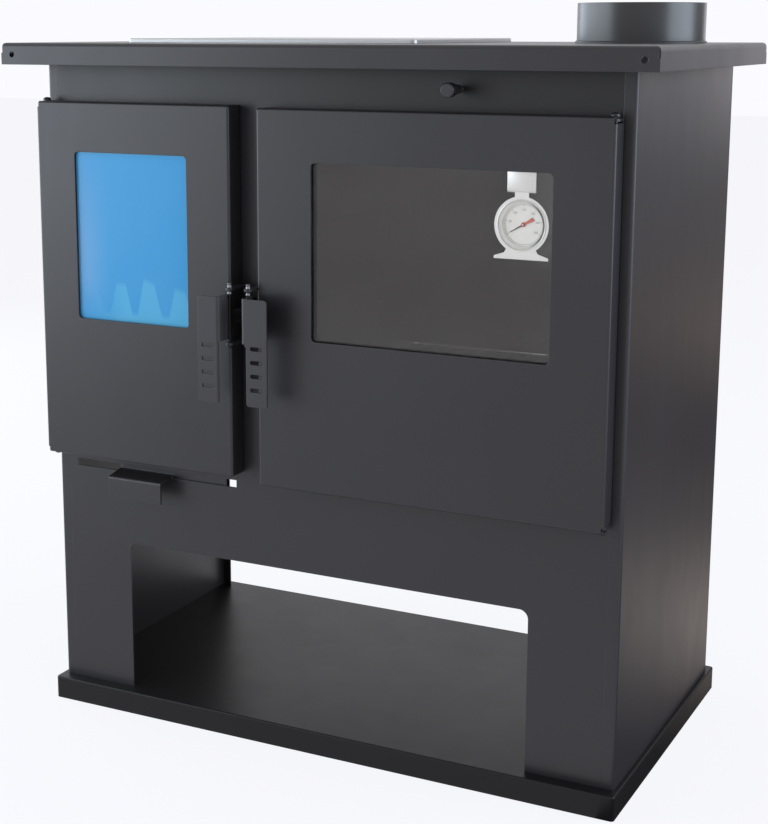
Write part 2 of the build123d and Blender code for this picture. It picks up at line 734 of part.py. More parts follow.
# ---------------------------------------------------------------- oven and smoke passages
oven_back = y_inside + oven_depth
with BuildPart() as oven_box:
    with BuildSketch(facing(oven_back)):
        rect(*inset(oven_opening, -oven_wall), radius=window_radius + oven_wall)
    extrude(amount=oven_depth)
    with BuildSketch(facing(oven_back - oven_wall)):
        rect(*oven_opening, radius=window_radius)
    extrude(amount=oven_depth - oven_wall, mode=Mode.SUBTRACT)
keep(oven_box.part, "oven_box")

rack_braces = (0.33, 0.67)  # cross rods, of the rack's depth
rack_level = oven_bottom + runner_first
runner_y0 = y_inside + runner_set
runner_y1 = oven_back - oven_wall - runner_short
with BuildPart() as oven_runners:
    for number in range(runner_levels):
        level = rack_level + number * runner_pitch
        for wall_x, turn in ((oven_left, 1), (oven_right, -1)):
            x0, x1 = sorted((wall_x, wall_x + turn * runner))
            block(x0, x1, runner_y0, runner_y1, level, level + runner_sheet)
            x0, x1 = sorted((wall_x, wall_x + turn * runner_sheet))
            block(x0, x1, runner_y0, runner_y1, level - runner, level)
keep(oven_runners.part, "oven_runners")

rack_x0 = oven_left + runner_sheet + rack_play
rack_x1 = oven_right - runner_sheet - rack_play
rack_y0 = runner_y0 + rack_short
rack_y1 = runner_y1 - rack_short
rack_z = rack_level + runner_sheet + rack_wire / 2
with BuildPart() as oven_rack:
    with BuildLine() as frame_line:
        middle = (rack_x0 + rack_x1) / 2
        FilletPolyline((middle, rack_y0, rack_z), (rack_x1, rack_y0, rack_z), (rack_x1, rack_y1, rack_z),
                       (rack_x0, rack_y1, rack_z), (rack_x0, rack_y0, rack_z), close=True,
                       radius=(0, rack_bend, rack_bend, rack_bend, rack_bend))
    with BuildSketch(Plane((middle, rack_y0, rack_z), x_dir=(0, 1, 0), z_dir=(1, 0, 0))):
        Circle(rack_wire / 2)
    sweep()
    rod_pitch = (rack_x1 - rack_x0) / (rack_rods + 1)
    for number in range(rack_rods):
        bar(rack_x0 + (number + 1) * rod_pitch, rack_z, rack_y0, rack_y1, rack_rod)
    for share in rack_braces:
        with BuildSketch(Plane.YZ.offset(rack_x0)):
            with Locations((rack_y0 + share * (rack_y1 - rack_y0), rack_z)):
                Circle(rack_rod / 2)
        extrude(amount=rack_x1 - rack_x0)
keep(oven_rack.part, "oven_rack")

cover_lap = 20.0            # cover over the oven's roof
flue_wall_x = knob_x + damper_offset
baffle_y = y_inside + baffle_set
with BuildPart() as smoke_covers:
    block(box_right - firebox_wall, oven_left + cover_lap, y_inside, oven_back, oven_roof, oven_roof + cover_sheet)
    block(box_right, flue_wall_x, oven_back, back_y0, oven_roof, oven_roof + cover_sheet)
keep(smoke_covers.part, "smoke_covers")

damper_y0 = y_inside + damper_set
damper_z0 = oven_roof + cover_sheet + damper_clear[0]
damper_z1 = casing_top - damper_clear[1]
port_y0 = damper_y0 + (damper_length - port_length) / 2
port_z0 = damper_z0 + port_margin
port_z1 = damper_z1 - port_margin
with BuildPart() as flue_baffles:
    panel((flue_wall_x, inside_right, oven_roof, casing_top), baffle_y, baffle_y + sheet)
    panel((oven_right + oven_wall, inside_right, oven_bottom - oven_wall, oven_roof), baffle_y,
          baffle_y + sheet)
    block(flue_wall_x, flue_wall_x + sheet, baffle_y, back_y0, oven_roof, casing_top)
    block(flue_wall_x, flue_wall_x + sheet, port_y0, port_y0 + port_length, port_z0, port_z1,
          mode=Mode.SUBTRACT)
keep(flue_baffles.part, "flue_baffles")

# ---------------------------------------------------------------- damper
damper_x1 = flue_wall_x - running_gap
damper_x0 = damper_x1 - sheet
flange_reach = 12.0         # damper's flange beyond the rod's axis, sideways and in half its height
flange_half = 11.0
flange_front = knob_x - flange_reach
with BuildPart() as damper_plate:
    block(damper_x0, damper_x1, damper_y0, damper_y0 + damper_length, damper_z0, damper_z1)
    block(flange_front, damper_x0, damper_y0, damper_y0 + sheet, knob_height - flange_half,
          knob_height + flange_half)
    bar(knob_x, knob_height, damper_y0, damper_y0 + sheet, damper_rod_size + 2 * pin_play, mode=Mode.SUBTRACT)
keep(damper_plate.part, "damper_plate")

nut_size = 10.0
nut_thick = 5.0
rod_end = 2.0               # behind the rear nut
knob_wall = 12.0            # solid part of the knob in front of the rod
rod_back = damper_y0 + sheet + nut_thick + rod_end
with BuildPart() as damper_rod:
    bar(knob_x, knob_height, y_front - knob_reach + knob_wall, rod_back, damper_rod_size)
keep(damper_rod.part, "damper_rod")

with BuildPart() as damper_nuts:
    for y0 in (damper_y0 - nut_thick, damper_y0 + sheet):
        with BuildSketch(facing(y0 + nut_thick)):
            with Locations((knob_x, knob_height)):
                RegularPolygon(nut_size / 2, 6, major_radius=False, rotation=30)
                Circle(damper_rod_size / 2 + pin_play, mode=Mode.SUBTRACT)
        extrude(amount=nut_thick)
keep(damper_nuts.part, "damper_nuts")

knob_y0 = y_front - knob_reach
knob_length = 30.0
knob_round = 1.4
knob_head = 9.0             # length at full size
knob_waist = (18.0, 6.2)    # place along the knob and radius
knob_neck = 5.2             # radius at the rear end
with BuildPart() as damper_knob:
    with BuildSketch(Plane.YZ.offset(knob_x)):
        with BuildLine():
            Polyline((knob_y0, knob_height), (knob_y0, knob_height + knob_size / 2 - knob_round),
                     (knob_y0 + knob_round, knob_height + knob_size / 2),
                     (knob_y0 + knob_head, knob_height + knob_size / 2))
            Spline((knob_y0 + knob_head, knob_height + knob_size / 2),
                   (knob_y0 + knob_waist[0], knob_height + knob_waist[1]),
                   (knob_y0 + knob_length, knob_height + knob_neck), tangents=((1, 0), (1, 0)))
            Polyline((knob_y0 + knob_length, knob_height + knob_neck), (knob_y0 + knob_length, knob_height),
                     (knob_y0, knob_height))
        make_face()
    revolve(axis=Axis((knob_x, 0, knob_height), (0, 1, 0)))
    bar(knob_x, knob_height, knob_y0 + knob_wall, knob_y0 + knob_length, damper_rod_size + 2 * pin_play,
        mode=Mode.SUBTRACT)
keep(damper_knob.part, "damper_knob")

guide_lip = 1.8
guide_sheet = 3.0
guide_hold = 5.0            # lip beside the damper's edge
guide_over = 20.0           # beyond the damper's rear end
guide_y0 = baffle_y
guide_y1 = damper_y0 + damper_length + guide_over
with BuildPart() as damper_guides:
    for edge_z, turn in ((damper_z0 - running_gap, -1), (damper_z1 + running_gap, 1)):
        z0, z1 = sorted((edge_z, edge_z + turn * guide_sheet))
        block(damper_x0 - running_gap - guide_lip, flue_wall_x, guide_y0, guide_y1, z0, z1)
        z0, z1 = sorted((edge_z, edge_z - turn * guide_hold))
        block(damper_x0 - running_gap - guide_lip, damper_x0 - running_gap, guide_y0, guide_y1, z0, z1)
keep(damper_guides.part, "damper_guides")

# ---------------------------------------------------------------- hinges and keeper on the casing
hinge_y = y_front - hinge_forward
pin_head = 10.0
dome = 4.0
dome_round = 0.85 * dome
pin_end = 2.0               # beyond the lug


def hinge_levels(door):
    """For a door's lower and upper hinge: its lug's limits in height and the outer way up."""
    lower = door.bottom + sheet + running_gap
    upper = door.top - sheet - running_gap - hinge_lug
    return ((lower, lower + hinge_lug, -1), (upper, upper + hinge_lug, 1))


with BuildPart() as hinge_lugs:
    for door in doors:
        for z0, z1, way in hinge_levels(door):
            with BuildSketch(Plane.XY.offset(z0)):
                with Locations((door.hinge_x, hinge_y)):
                    Circle(hinge_boss)
                rect(door.hinge_x - hinge_boss, door.hinge_x + hinge_boss, hinge_y, y_front)
                with Locations((door.hinge_x, hinge_y)):
                    Circle(hinge_pin / 2 + pin_play, mode=Mode.SUBTRACT)
            extrude(amount=hinge_lug)
keep(hinge_lugs.part, "hinge_lugs")

with BuildPart() as hinge_pins:
    for door in doors:
        for z0, z1, way in hinge_levels(door):
            outer = door.top + running_gap if way > 0 else door.bottom - running_gap
            inner = z0 - pin_end if way > 0 else z1 + pin_end
            rod(door.hinge_x, hinge_y, min(outer, inner), max(outer, inner), hinge_pin)
            low, high = sorted((outer, outer + way * dome))
            rod(door.hinge_x, hinge_y, low, high, pin_head)
            rims = hinge_pins.edges().filter_by(GeomType.CIRCLE).filter_by_position(
                Axis.Z, outer + way * dome - near, outer + way * dome + near)
            fillet(rims.sort_by_distance((door.hinge_x, hinge_y, outer))[0], dome_round)
keep(hinge_pins.part, "hinge_pins")

keeper_over = 10.0          # keeper's root above and below the tongue
keeper_nose = 2.0           # keeper's front above and below the tongue
keeper_ramp = 8.0
tongue_z1 = handle_top - tongue_drop
tongue_z0 = tongue_z1 - tongue_height
with BuildPart() as latch_keeper:
    with BuildSketch(Plane.YZ.offset(gap_middle - keeper / 2)):
        with BuildLine():
            Polyline((y_front, tongue_z0 - keeper_over), (y_front, tongue_z1 + keeper_over),
                     (y_front - keeper_reach + keeper_ramp, tongue_z1 + keeper_over),
                     (y_front - keeper_reach, tongue_z1 + keeper_nose),
                     (y_front - keeper_reach, tongue_z0 - keeper_nose),
                     (y_front - keeper_reach + keeper_ramp, tongue_z0 - keeper_over), close=True)
        make_face()
    extrude(amount=keeper)
keep(latch_keeper.part, "latch_keeper")

# ---------------------------------------------------------------- doors
latch_y = y_front - latch_forward
ear_drops = (8.2, 7.0)      # upper ear below the rod's end, lower ear below the flange
ear_lap = 6.0               # ear inside the door's rear edge
notch_play = 0.2            # corner relief beyond the fold
glass_chamfer = 0.6
tape_inset = 0.5            # tape inside the pane's edge
frame_lap = 3.0             # frame's inner edge outside the window
frame_corner = 6.0
stud_end = 2.0              # beyond its nut
channel_set = 1.0           # channel's edges inside the door's rear edge
rope_slack = 0.6
shield_gap = 3.0            # shield below the pane's frame
shield_set = 4.0            # shield's upper fold behind the door's skin
grip_corners = (3.5, 1.5, 4.0)          # lower inner, lower outer and upper outer corner
grip_fold = 3.5
first_slot = 0.5            # first slot below the flange
knee = 16.0                 # tongue's bend behind the rod's axis
knee_step = 1.0
rod_end_chamfer = 0.8
rod_tail = 3.0              # rod below its lower ear
ear_levels = (handle_top + latch_rise - ear_drops[0], handle_top - flange_height - ear_drops[1])
glass_front = face_back + gasket
glass_back = glass_front + glass
frame_back = glass_back + frame_sheet
rope_size = seal_width - running_gap
web_y = edge_y - seal_groove


def latch_x(door):
    """Axis of a door's latch rod."""
    return door.free_x - door.hinge * latch_offset


def build_pan(door):
    """Folded outer skin of a door, with its window, hinge holes and latch ears."""
    limits = (door.left, door.right, door.bottom, door.top)
    with BuildPart() as pan:
        panel(limits, face_y, edge_y)
        fillet(pan.edges().filter_by(Axis.Y), door_fold)
        fillet(pan.faces().sort_by(Axis.Y)[0].edges(), door_fold)
        with BuildSketch(facing(edge_y)) as hollow:
            rect(*inset(limits, sheet), radius=door_fold - sheet)
        extrude(hollow.sketch, amount=edge_y - face_back, mode=Mode.SUBTRACT)
        panel(door.window, face_y, face_back, radius=window_radius, mode=Mode.SUBTRACT)
        hinge_edge = door.left if door.hinge < 0 else door.right
        x0, x1 = sorted((hinge_edge + door.hinge, hinge_edge - door.hinge * (door_fold + notch_play)))
        for z0, z1 in ((door.bottom, door.bottom + door_notch), (door.top - door_notch, door.top)):
            block(x0, x1, face_y, edge_y, z0, z1, mode=Mode.SUBTRACT)
            rod(door.hinge_x, hinge_y, z0, z1, hinge_pin + 2 * pin_play, mode=Mode.SUBTRACT)
        ear_x = latch_x(door)
        inner, outer = sorted((door.free_x, ear_x - door.hinge * latch_rod))
        for z0 in ear_levels:
            with BuildSketch(Plane.XY.offset(z0)) as ear:
                rect(inner, outer, latch_y, edge_y - ear_lap)
                with Locations((ear_x, latch_y)):
                    Circle(latch_rod)
                    Circle(latch_rod / 2 + pin_play, mode=Mode.SUBTRACT)
            extrude(ear.sketch, amount=latch_ear)
    return pan.part


def build_glass(door):
    """Glass pane behind the window."""
    with BuildPart() as pane:
        panel(inset(door.window, -glass_overlap), glass_front, glass_back, radius=window_radius)
        chamfer(pane.edges().filter_by(GeomType.LINE).filter_by(Axis.Z), glass_chamfer)
    return pane.part


def build_gasket(door):
    """Flat woven tape between the pane and the door's skin."""
    with BuildPart() as tape:
        rim(inset(door.window, -glass_overlap + tape_inset), gasket_width, face_back, glass_front)
    return tape.part


def fixing_places(door):
    """Six places round the pane for its fixings."""
    x0, x1, z0, z1 = inset(door.window, -(frame_width + glass_overlap) / 2)
    return [(x, z) for z in (z0, (z0 + z1) / 2, z1) for x in (x0, x1)]


def build_frame(door):
    """Pressed frame that holds the pane against its tape."""
    with BuildPart() as frame:
        rim(inset(door.window, -frame_width), frame_width - frame_lap, glass_back, frame_back,
            radius=frame_corner)
        for x, z in fixing_places(door):
            bar(x, z, glass_back, frame_back, stud + 2 * pin_play, mode=Mode.SUBTRACT)
    return frame.part


def build_fixings(door):
    """Welded studs with their nuts, six round the pane."""
    with BuildPart() as fixings:
        for x, z in fixing_places(door):
            bar(x, z, face_back, frame_back + nut_height + stud_end, stud)
            with BuildSketch(facing(frame_back + nut_height)) as hexagon:
                with Locations((x, z)):
                    RegularPolygon(nut_flats / 2, 6, major_radius=False)
            extrude(hexagon.sketch, amount=nut_height)
    return fixings.part


def build_channel(door):
    """Folded channel round the door that holds the rope seal."""
    with BuildPart() as channel:
        rim(door.seal, seal_wall, face_back, edge_y - channel_set)
        rim(door.seal, seal_total, web_y - seal_wall, web_y)
        rim(inset(door.seal, seal_width + seal_wall), seal_wall, web_y - seal_wall, edge_y - channel_set)
    return channel.part


def build_rope(door):
    """Round rope seal, one closed loop."""
    limits = inset(door.seal, seal_total / 2)
    y = y_front - running_gap - rope_size / 2
    bottom_middle = (limits[0] + limits[1]) / 2
    rope_bend = rope_size / 2 + rope_slack
    with BuildPart() as rope:
        with BuildLine() as loop:
            FilletPolyline(
                (bottom_middle, y, limits[2]), (limits[1], y, limits[2]), (limits[1], y, limits[3]),
                (limits[0], y, limits[3]), (limits[0], y, limits[2]), close=True,
                radius=(0, rope_bend, rope_bend, rope_bend, rope_bend))
        with BuildSketch(Plane((bottom_middle, y, limits[2]), x_dir=(0, 1, 0), z_dir=(1, 0, 0))) as cut:
            Circle(rope_size / 2)
        sweep(cut.sketch, path=loop.line)
    return rope.part


def build_shield(door):
    """Inner heat shield below the pane, between the walls of the seal channel."""
    x0, x1, z0, _ = inset(door.seal, seal_total)
    fold_z = door.window[2] - frame_width - shield_gap
    with BuildPart() as shield:
        panel((x0, x1, z0, fold_z), web_y, web_y + seal_wall)
        panel((x0, x1, fold_z - seal_wall, fold_z), face_back + shield_set, web_y)
    return shield.part


def build_handle(door):
    """Folded grip plate with its finger slots."""
    way = -door.hinge
    flange_x = door.free_x + way * (latch_offset - latch_rod / 2)
    low_x = flange_x - way * door.grip_step
    far_x = low_x - way * handle_width
    front = y_front - handle_reach
    bottom = handle_top - handle_height
    step = handle_top - flange_height
    with BuildPart() as grip:
        with BuildSketch(facing(front + handle_sheet)) as plate:
            with BuildLine():
                Polyline((flange_x, handle_top), (far_x, handle_top), (far_x, bottom), (low_x, bottom),
                         (low_x, step), (flange_x, step), close=True)
            make_face()
            fillet(plate.vertices().group_by(Axis.Y)[0].sort_by(Axis.X)[-1 if way > 0 else 0],
                   grip_corners[0])
            fillet(plate.vertices().group_by(Axis.Y)[0].sort_by(Axis.X)[0 if way > 0 else -1],
                   grip_corners[1])
            fillet(plate.vertices().group_by(Axis.Y)[-1].sort_by(Axis.X)[0 if way > 0 else -1],
                   grip_corners[2])
            slot_x = (far_x + low_x) / 2
            for number in range(slot_count):
                with Locations((slot_x, step - slot_size + first_slot - number * slot_pitch)):
                    SlotOverall(slot_length, slot_size, mode=Mode.SUBTRACT)
        extrude(plate.sketch, amount=handle_sheet)
        x0, x1 = sorted((flange_x, flange_x - way * handle_sheet))
        block(x0, x1, front, front + handle_flange, step, handle_top)
        fold = grip.edges().filter_by(Axis.Z).filter_by_position(Axis.X, flange_x - near, flange_x + near)
        fillet(fold.sort_by(Axis.Y)[0], grip_fold)
    return grip.part


def build_latch(door):
    """Round latch rod with its tongue."""
    way = -door.hinge
    x = latch_x(door)
    tip_x = gap_middle - way * (keeper / 2 + keeper_play)
    knee_y = latch_y + knee
    tip_y = y_front - tongue_clear
    with BuildPart() as latch:
        rod(x, latch_y, ear_levels[1] - rod_tail, handle_top + latch_rise, latch_rod)
        chamfer(latch.edges().group_by(Axis.Z)[-1], rod_end_chamfer)
        with BuildSketch(Plane.XY.offset(tongue_z0)) as outline:
            with BuildLine():
                Polyline((x - way * tongue / 2, latch_y), (tip_x - way * tongue, knee_y + knee_step),
                         (tip_x - way * tongue, tip_y), (tip_x, tip_y), (tip_x, knee_y),
                         (x + way * tongue / 2, latch_y), close=True)
            make_face()
        extrude(outline.sketch, amount=tongue_height)
    return latch.part


for door in doors:
    keep(build_pan(door), f"{door.name}_door")
    keep(build_glass(door), f"{door.name}_glass")
    keep(build_gasket(door), f"{door.name}_glass_tape")
    keep(build_frame(door), f"{door.name}_glass_frame")
    keep(build_fixings(door), f"{door.name}_glass_fixings")
    keep(build_channel(door), f"{door.name}_seal_channel")
    keep(build_rope(door), f"{door.name}_rope_seal")
    keep(build_shield(door), f"{door.name}_door_shield")
    keep(build_handle(door), f"{door.name}_handle")
    keep(build_latch(door), f"{door.name}_latch")

# ---------------------------------------------------------------- oven thermometer
dial_x = oven.window[1] - case_x
dial_z = oven.window[3] - case_drop
plate_y0 = frame_back + running_gap
plate_y1 = plate_y0 + plate_sheet
case_y1 = plate_y1 + case_depth
hook_top = oven.window[3] + frame_width + running_gap
neck_rise = 4.0             # hook plate above the round face
neck_lap = 1.0              # neck into the hook plate
foot_neck = ((17.0, 26.0), (19.0, 30.0))        # foot's upper points: half-width and drop
foot_edge = 3.0             # height of the foot's ends
case_ledge = 1.5            # stand's rim in front of the case
case_round = 2.0
step_z = dial_z + face_size / 2 + neck_rise
with BuildPart() as thermometer_stand:
    with BuildSketch(facing(plate_y1)) as outline:
        with Locations((dial_x, dial_z)):
            Circle(face_size / 2)
        rect(dial_x - neck_width / 2, dial_x + neck_width / 2, dial_z, step_z + neck_lap)
        rect(dial_x - hook_width / 2, dial_x + hook_width / 2, step_z, hook_top)
        with BuildLine():
            Polyline((dial_x - foot_neck[0][0], dial_z - foot_neck[0][1]),
                     (dial_x + foot_neck[0][0], dial_z - foot_neck[0][1]),
                     (dial_x + foot_neck[1][0], dial_z - foot_neck[1][1]),
                     (dial_x + foot_width / 2, dial_z - foot_drop + foot_edge),
                     (dial_x + foot_width / 2, dial_z - foot_drop),
                     (dial_x - foot_width / 2, dial_z - foot_drop),
                     (dial_x - foot_width / 2, dial_z - foot_drop + foot_edge),
                     (dial_x - foot_neck[1][0], dial_z - foot_neck[1][1]), close=True)
        make_face()
        with Locations((dial_x, dial_z)):
            Circle(case_size / 2 - case_ledge, mode=Mode.SUBTRACT)
    extrude(outline.sketch, amount=plate_sheet)
    leg_y = glass_back - running_gap - plate_sheet
    block(dial_x - hook_width / 2, dial_x + hook_width / 2, leg_y, plate_y1, hook_top, hook_top + plate_sheet)
    block(dial_x - hook_width / 2, dial_x + hook_width / 2, leg_y, leg_y + plate_sheet,
          hook_top - hook_leg, hook_top)
keep(thermometer_stand.part, "thermometer_stand")

with BuildPart() as thermometer_case:
    bar(dial_x, dial_z, plate_y1, case_y1, case_size)
    fillet(thermometer_case.edges().group_by(Axis.Y)[-1], case_round)
    bar(dial_x, dial_z, plate_y1, case_y1 - plate_sheet, case_size - 2 * plate_sheet, mode=Mode.SUBTRACT)
keep(thermometer_case.part, "thermometer_case")

lens_size = case_size - 2 * plate_sheet - 2 * pin_play
dial_thickness = 4.0
spindle = 1.6
spindle_reach = 3.6         # in front of the dial
lens_thickness = 1.2
dial_y = case_y1 - plate_sheet - dial_thickness
with BuildPart() as thermometer_dial:
    bar(dial_x, dial_z, dial_y, case_y1 - plate_sheet, lens_size)
    bar(dial_x, dial_z, dial_y - spindle_reach, dial_y, spindle)
keep(thermometer_dial.part, "thermometer_dial")

with BuildPart() as thermometer_lens:
    bar(dial_x, dial_z, plate_y1, plate_y1 + lens_thickness, lens_size)
keep(thermometer_lens.part, "thermometer_lens")

needle_tail = 12.3
needle_tip = 18.0
needle_turn = 210.0         # towards the lower left, as seen from the front
needle_halves = (0.25, 1.1, 2.2)        # half-widths at the tip, the axis and the tail
needle_set = 1.2            # needle's rear face in front of the dial
needle_thickness = 0.5
needle_hub = 2.6
needle_edge = tuple(zip((needle_tip, 0.0, -needle_tail), needle_halves))
needle_outline = needle_edge + tuple((along, -half) for along, half in reversed(needle_edge))
needle_points = [Vector(along, across).rotate(Axis.Z, needle_turn) + Vector(dial_x, dial_z)
                 for along, across in needle_outline]
with BuildPart() as thermometer_needle:
    with BuildSketch(facing(dial_y - needle_set)) as outline:
        with BuildLine():
            Polyline(*needle_points, close=True)
        make_face()
        with Locations((dial_x, dial_z)):
            Circle(needle_hub)
            Circle(spindle / 2 + pin_play, mode=Mode.SUBTRACT)
    extrude(outline.sketch, amount=needle_thickness)
keep(thermometer_needle.part, "thermometer_needle")
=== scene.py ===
import logging
import math
from dataclasses import dataclass, field, replace
from enum import Enum
from typing import Any, Callable, ClassVar, Mapping, Optional, Sequence, Union

import bmesh
import bpy
from mathutils import Matrix, Vector


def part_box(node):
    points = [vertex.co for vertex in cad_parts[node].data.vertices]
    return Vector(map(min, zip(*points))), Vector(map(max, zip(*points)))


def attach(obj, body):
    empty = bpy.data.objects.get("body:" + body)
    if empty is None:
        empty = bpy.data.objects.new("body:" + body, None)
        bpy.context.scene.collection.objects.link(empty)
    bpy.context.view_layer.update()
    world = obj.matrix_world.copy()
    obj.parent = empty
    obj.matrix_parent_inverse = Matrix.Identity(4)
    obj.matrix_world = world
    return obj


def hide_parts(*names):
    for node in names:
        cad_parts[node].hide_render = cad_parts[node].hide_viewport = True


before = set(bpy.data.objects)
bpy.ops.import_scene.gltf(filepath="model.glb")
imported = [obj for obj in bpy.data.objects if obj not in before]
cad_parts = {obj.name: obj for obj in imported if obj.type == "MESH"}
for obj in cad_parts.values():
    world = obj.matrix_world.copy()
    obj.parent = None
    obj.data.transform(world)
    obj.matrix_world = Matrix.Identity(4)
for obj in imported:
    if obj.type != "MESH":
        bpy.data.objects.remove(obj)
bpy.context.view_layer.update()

log = logging.getLogger("stove")
MM = 0.001
TOUCH = 0.01 * MM               # places nearer than this are one place
ALONG = 0.9                     # a direction's share past which it counts as that axis
FACING_FRONT = (math.pi / 2, 0.0, 0.0)
ROUNDED = 60.0                  # angle under which round pieces look smooth, in degrees
ORIGIN = (0.0, 0.0, 0.0)
BACKGROUND = (0.965, 0.965, 1.0)
Rgb = tuple[float, float, float]
Pair = tuple[float, float]
Number = Union[float, "Value"]
Socket = bpy.types.NodeSocket
Piece = bpy.types.Object


class Axis(Enum):
    """A direction of the stove: across, from front to back, and up."""
    X = 0
    Y = 1
    Z = 2


# ---------------------------------------------------------------- materials as arithmetic
class Cell(Enum):
    """What a cell pattern gives: the distance from the nearest cell's middle, or the cell's random shade."""
    DISTANCE = "Distance"
    SHADE = "Color"


class Value:
    """A number that varies over a surface and is used in ordinary arithmetic."""

    def __init__(self, board: "Board", socket: Socket) -> None:
        """Wrap the output socket that carries the number, on the board that adds the nodes."""
        self.board = board
        self.socket = socket

    def math(self, operation: str, *others: Number, clamp: bool = False) -> "Value":
        """Add one Math node after this value.

        Args:
            operation: The Math node's operation.
            others: The second and third operands.
            clamp: Whether the result is kept between 0 and 1.

        Returns:
            The node's result.
        """
        operands = dict(enumerate((self, *others)))
        node = self.board.node("ShaderNodeMath", {"operation": operation, "use_clamp": clamp}, operands)
        return Value(self.board, node.outputs[0])

    def __add__(self, other: Number) -> "Value":
        """Sum with a number or a value."""
        return self.math("ADD", other)

    __radd__ = __add__

    def __mul__(self, other: Number) -> "Value":
        """Product with a number or a value."""
        return self.math("MULTIPLY", other)

    __rmul__ = __mul__

    def __sub__(self, other: Number) -> "Value":
        """Difference from a number or a value."""
        return self.math("SUBTRACT", other)

    def __rsub__(self, other: float) -> "Value":
        """A number less this value."""
        return (self * -1.0) + other

    def __pow__(self, other: float) -> "Value":
        """This value to a power."""
        return self.math("POWER", other)

    def step(self, low: float, high: float) -> "Value":
        """Straight rise from 0 to 1 between low and high, or a fall where high is the smaller one."""
        return (self - low).math("DIVIDE", high - low, clamp=True)

    def swing(self, amount: float) -> "Value":
        """Vary about 0 by so much in all, for a value that lies about 0.5."""
        return (self - 0.5) * amount

    def sine(self) -> "Value":
        """Sine of this value in radians, moved to run from 0 to 1."""
        return self.math("SINE") * 0.5 + 0.5


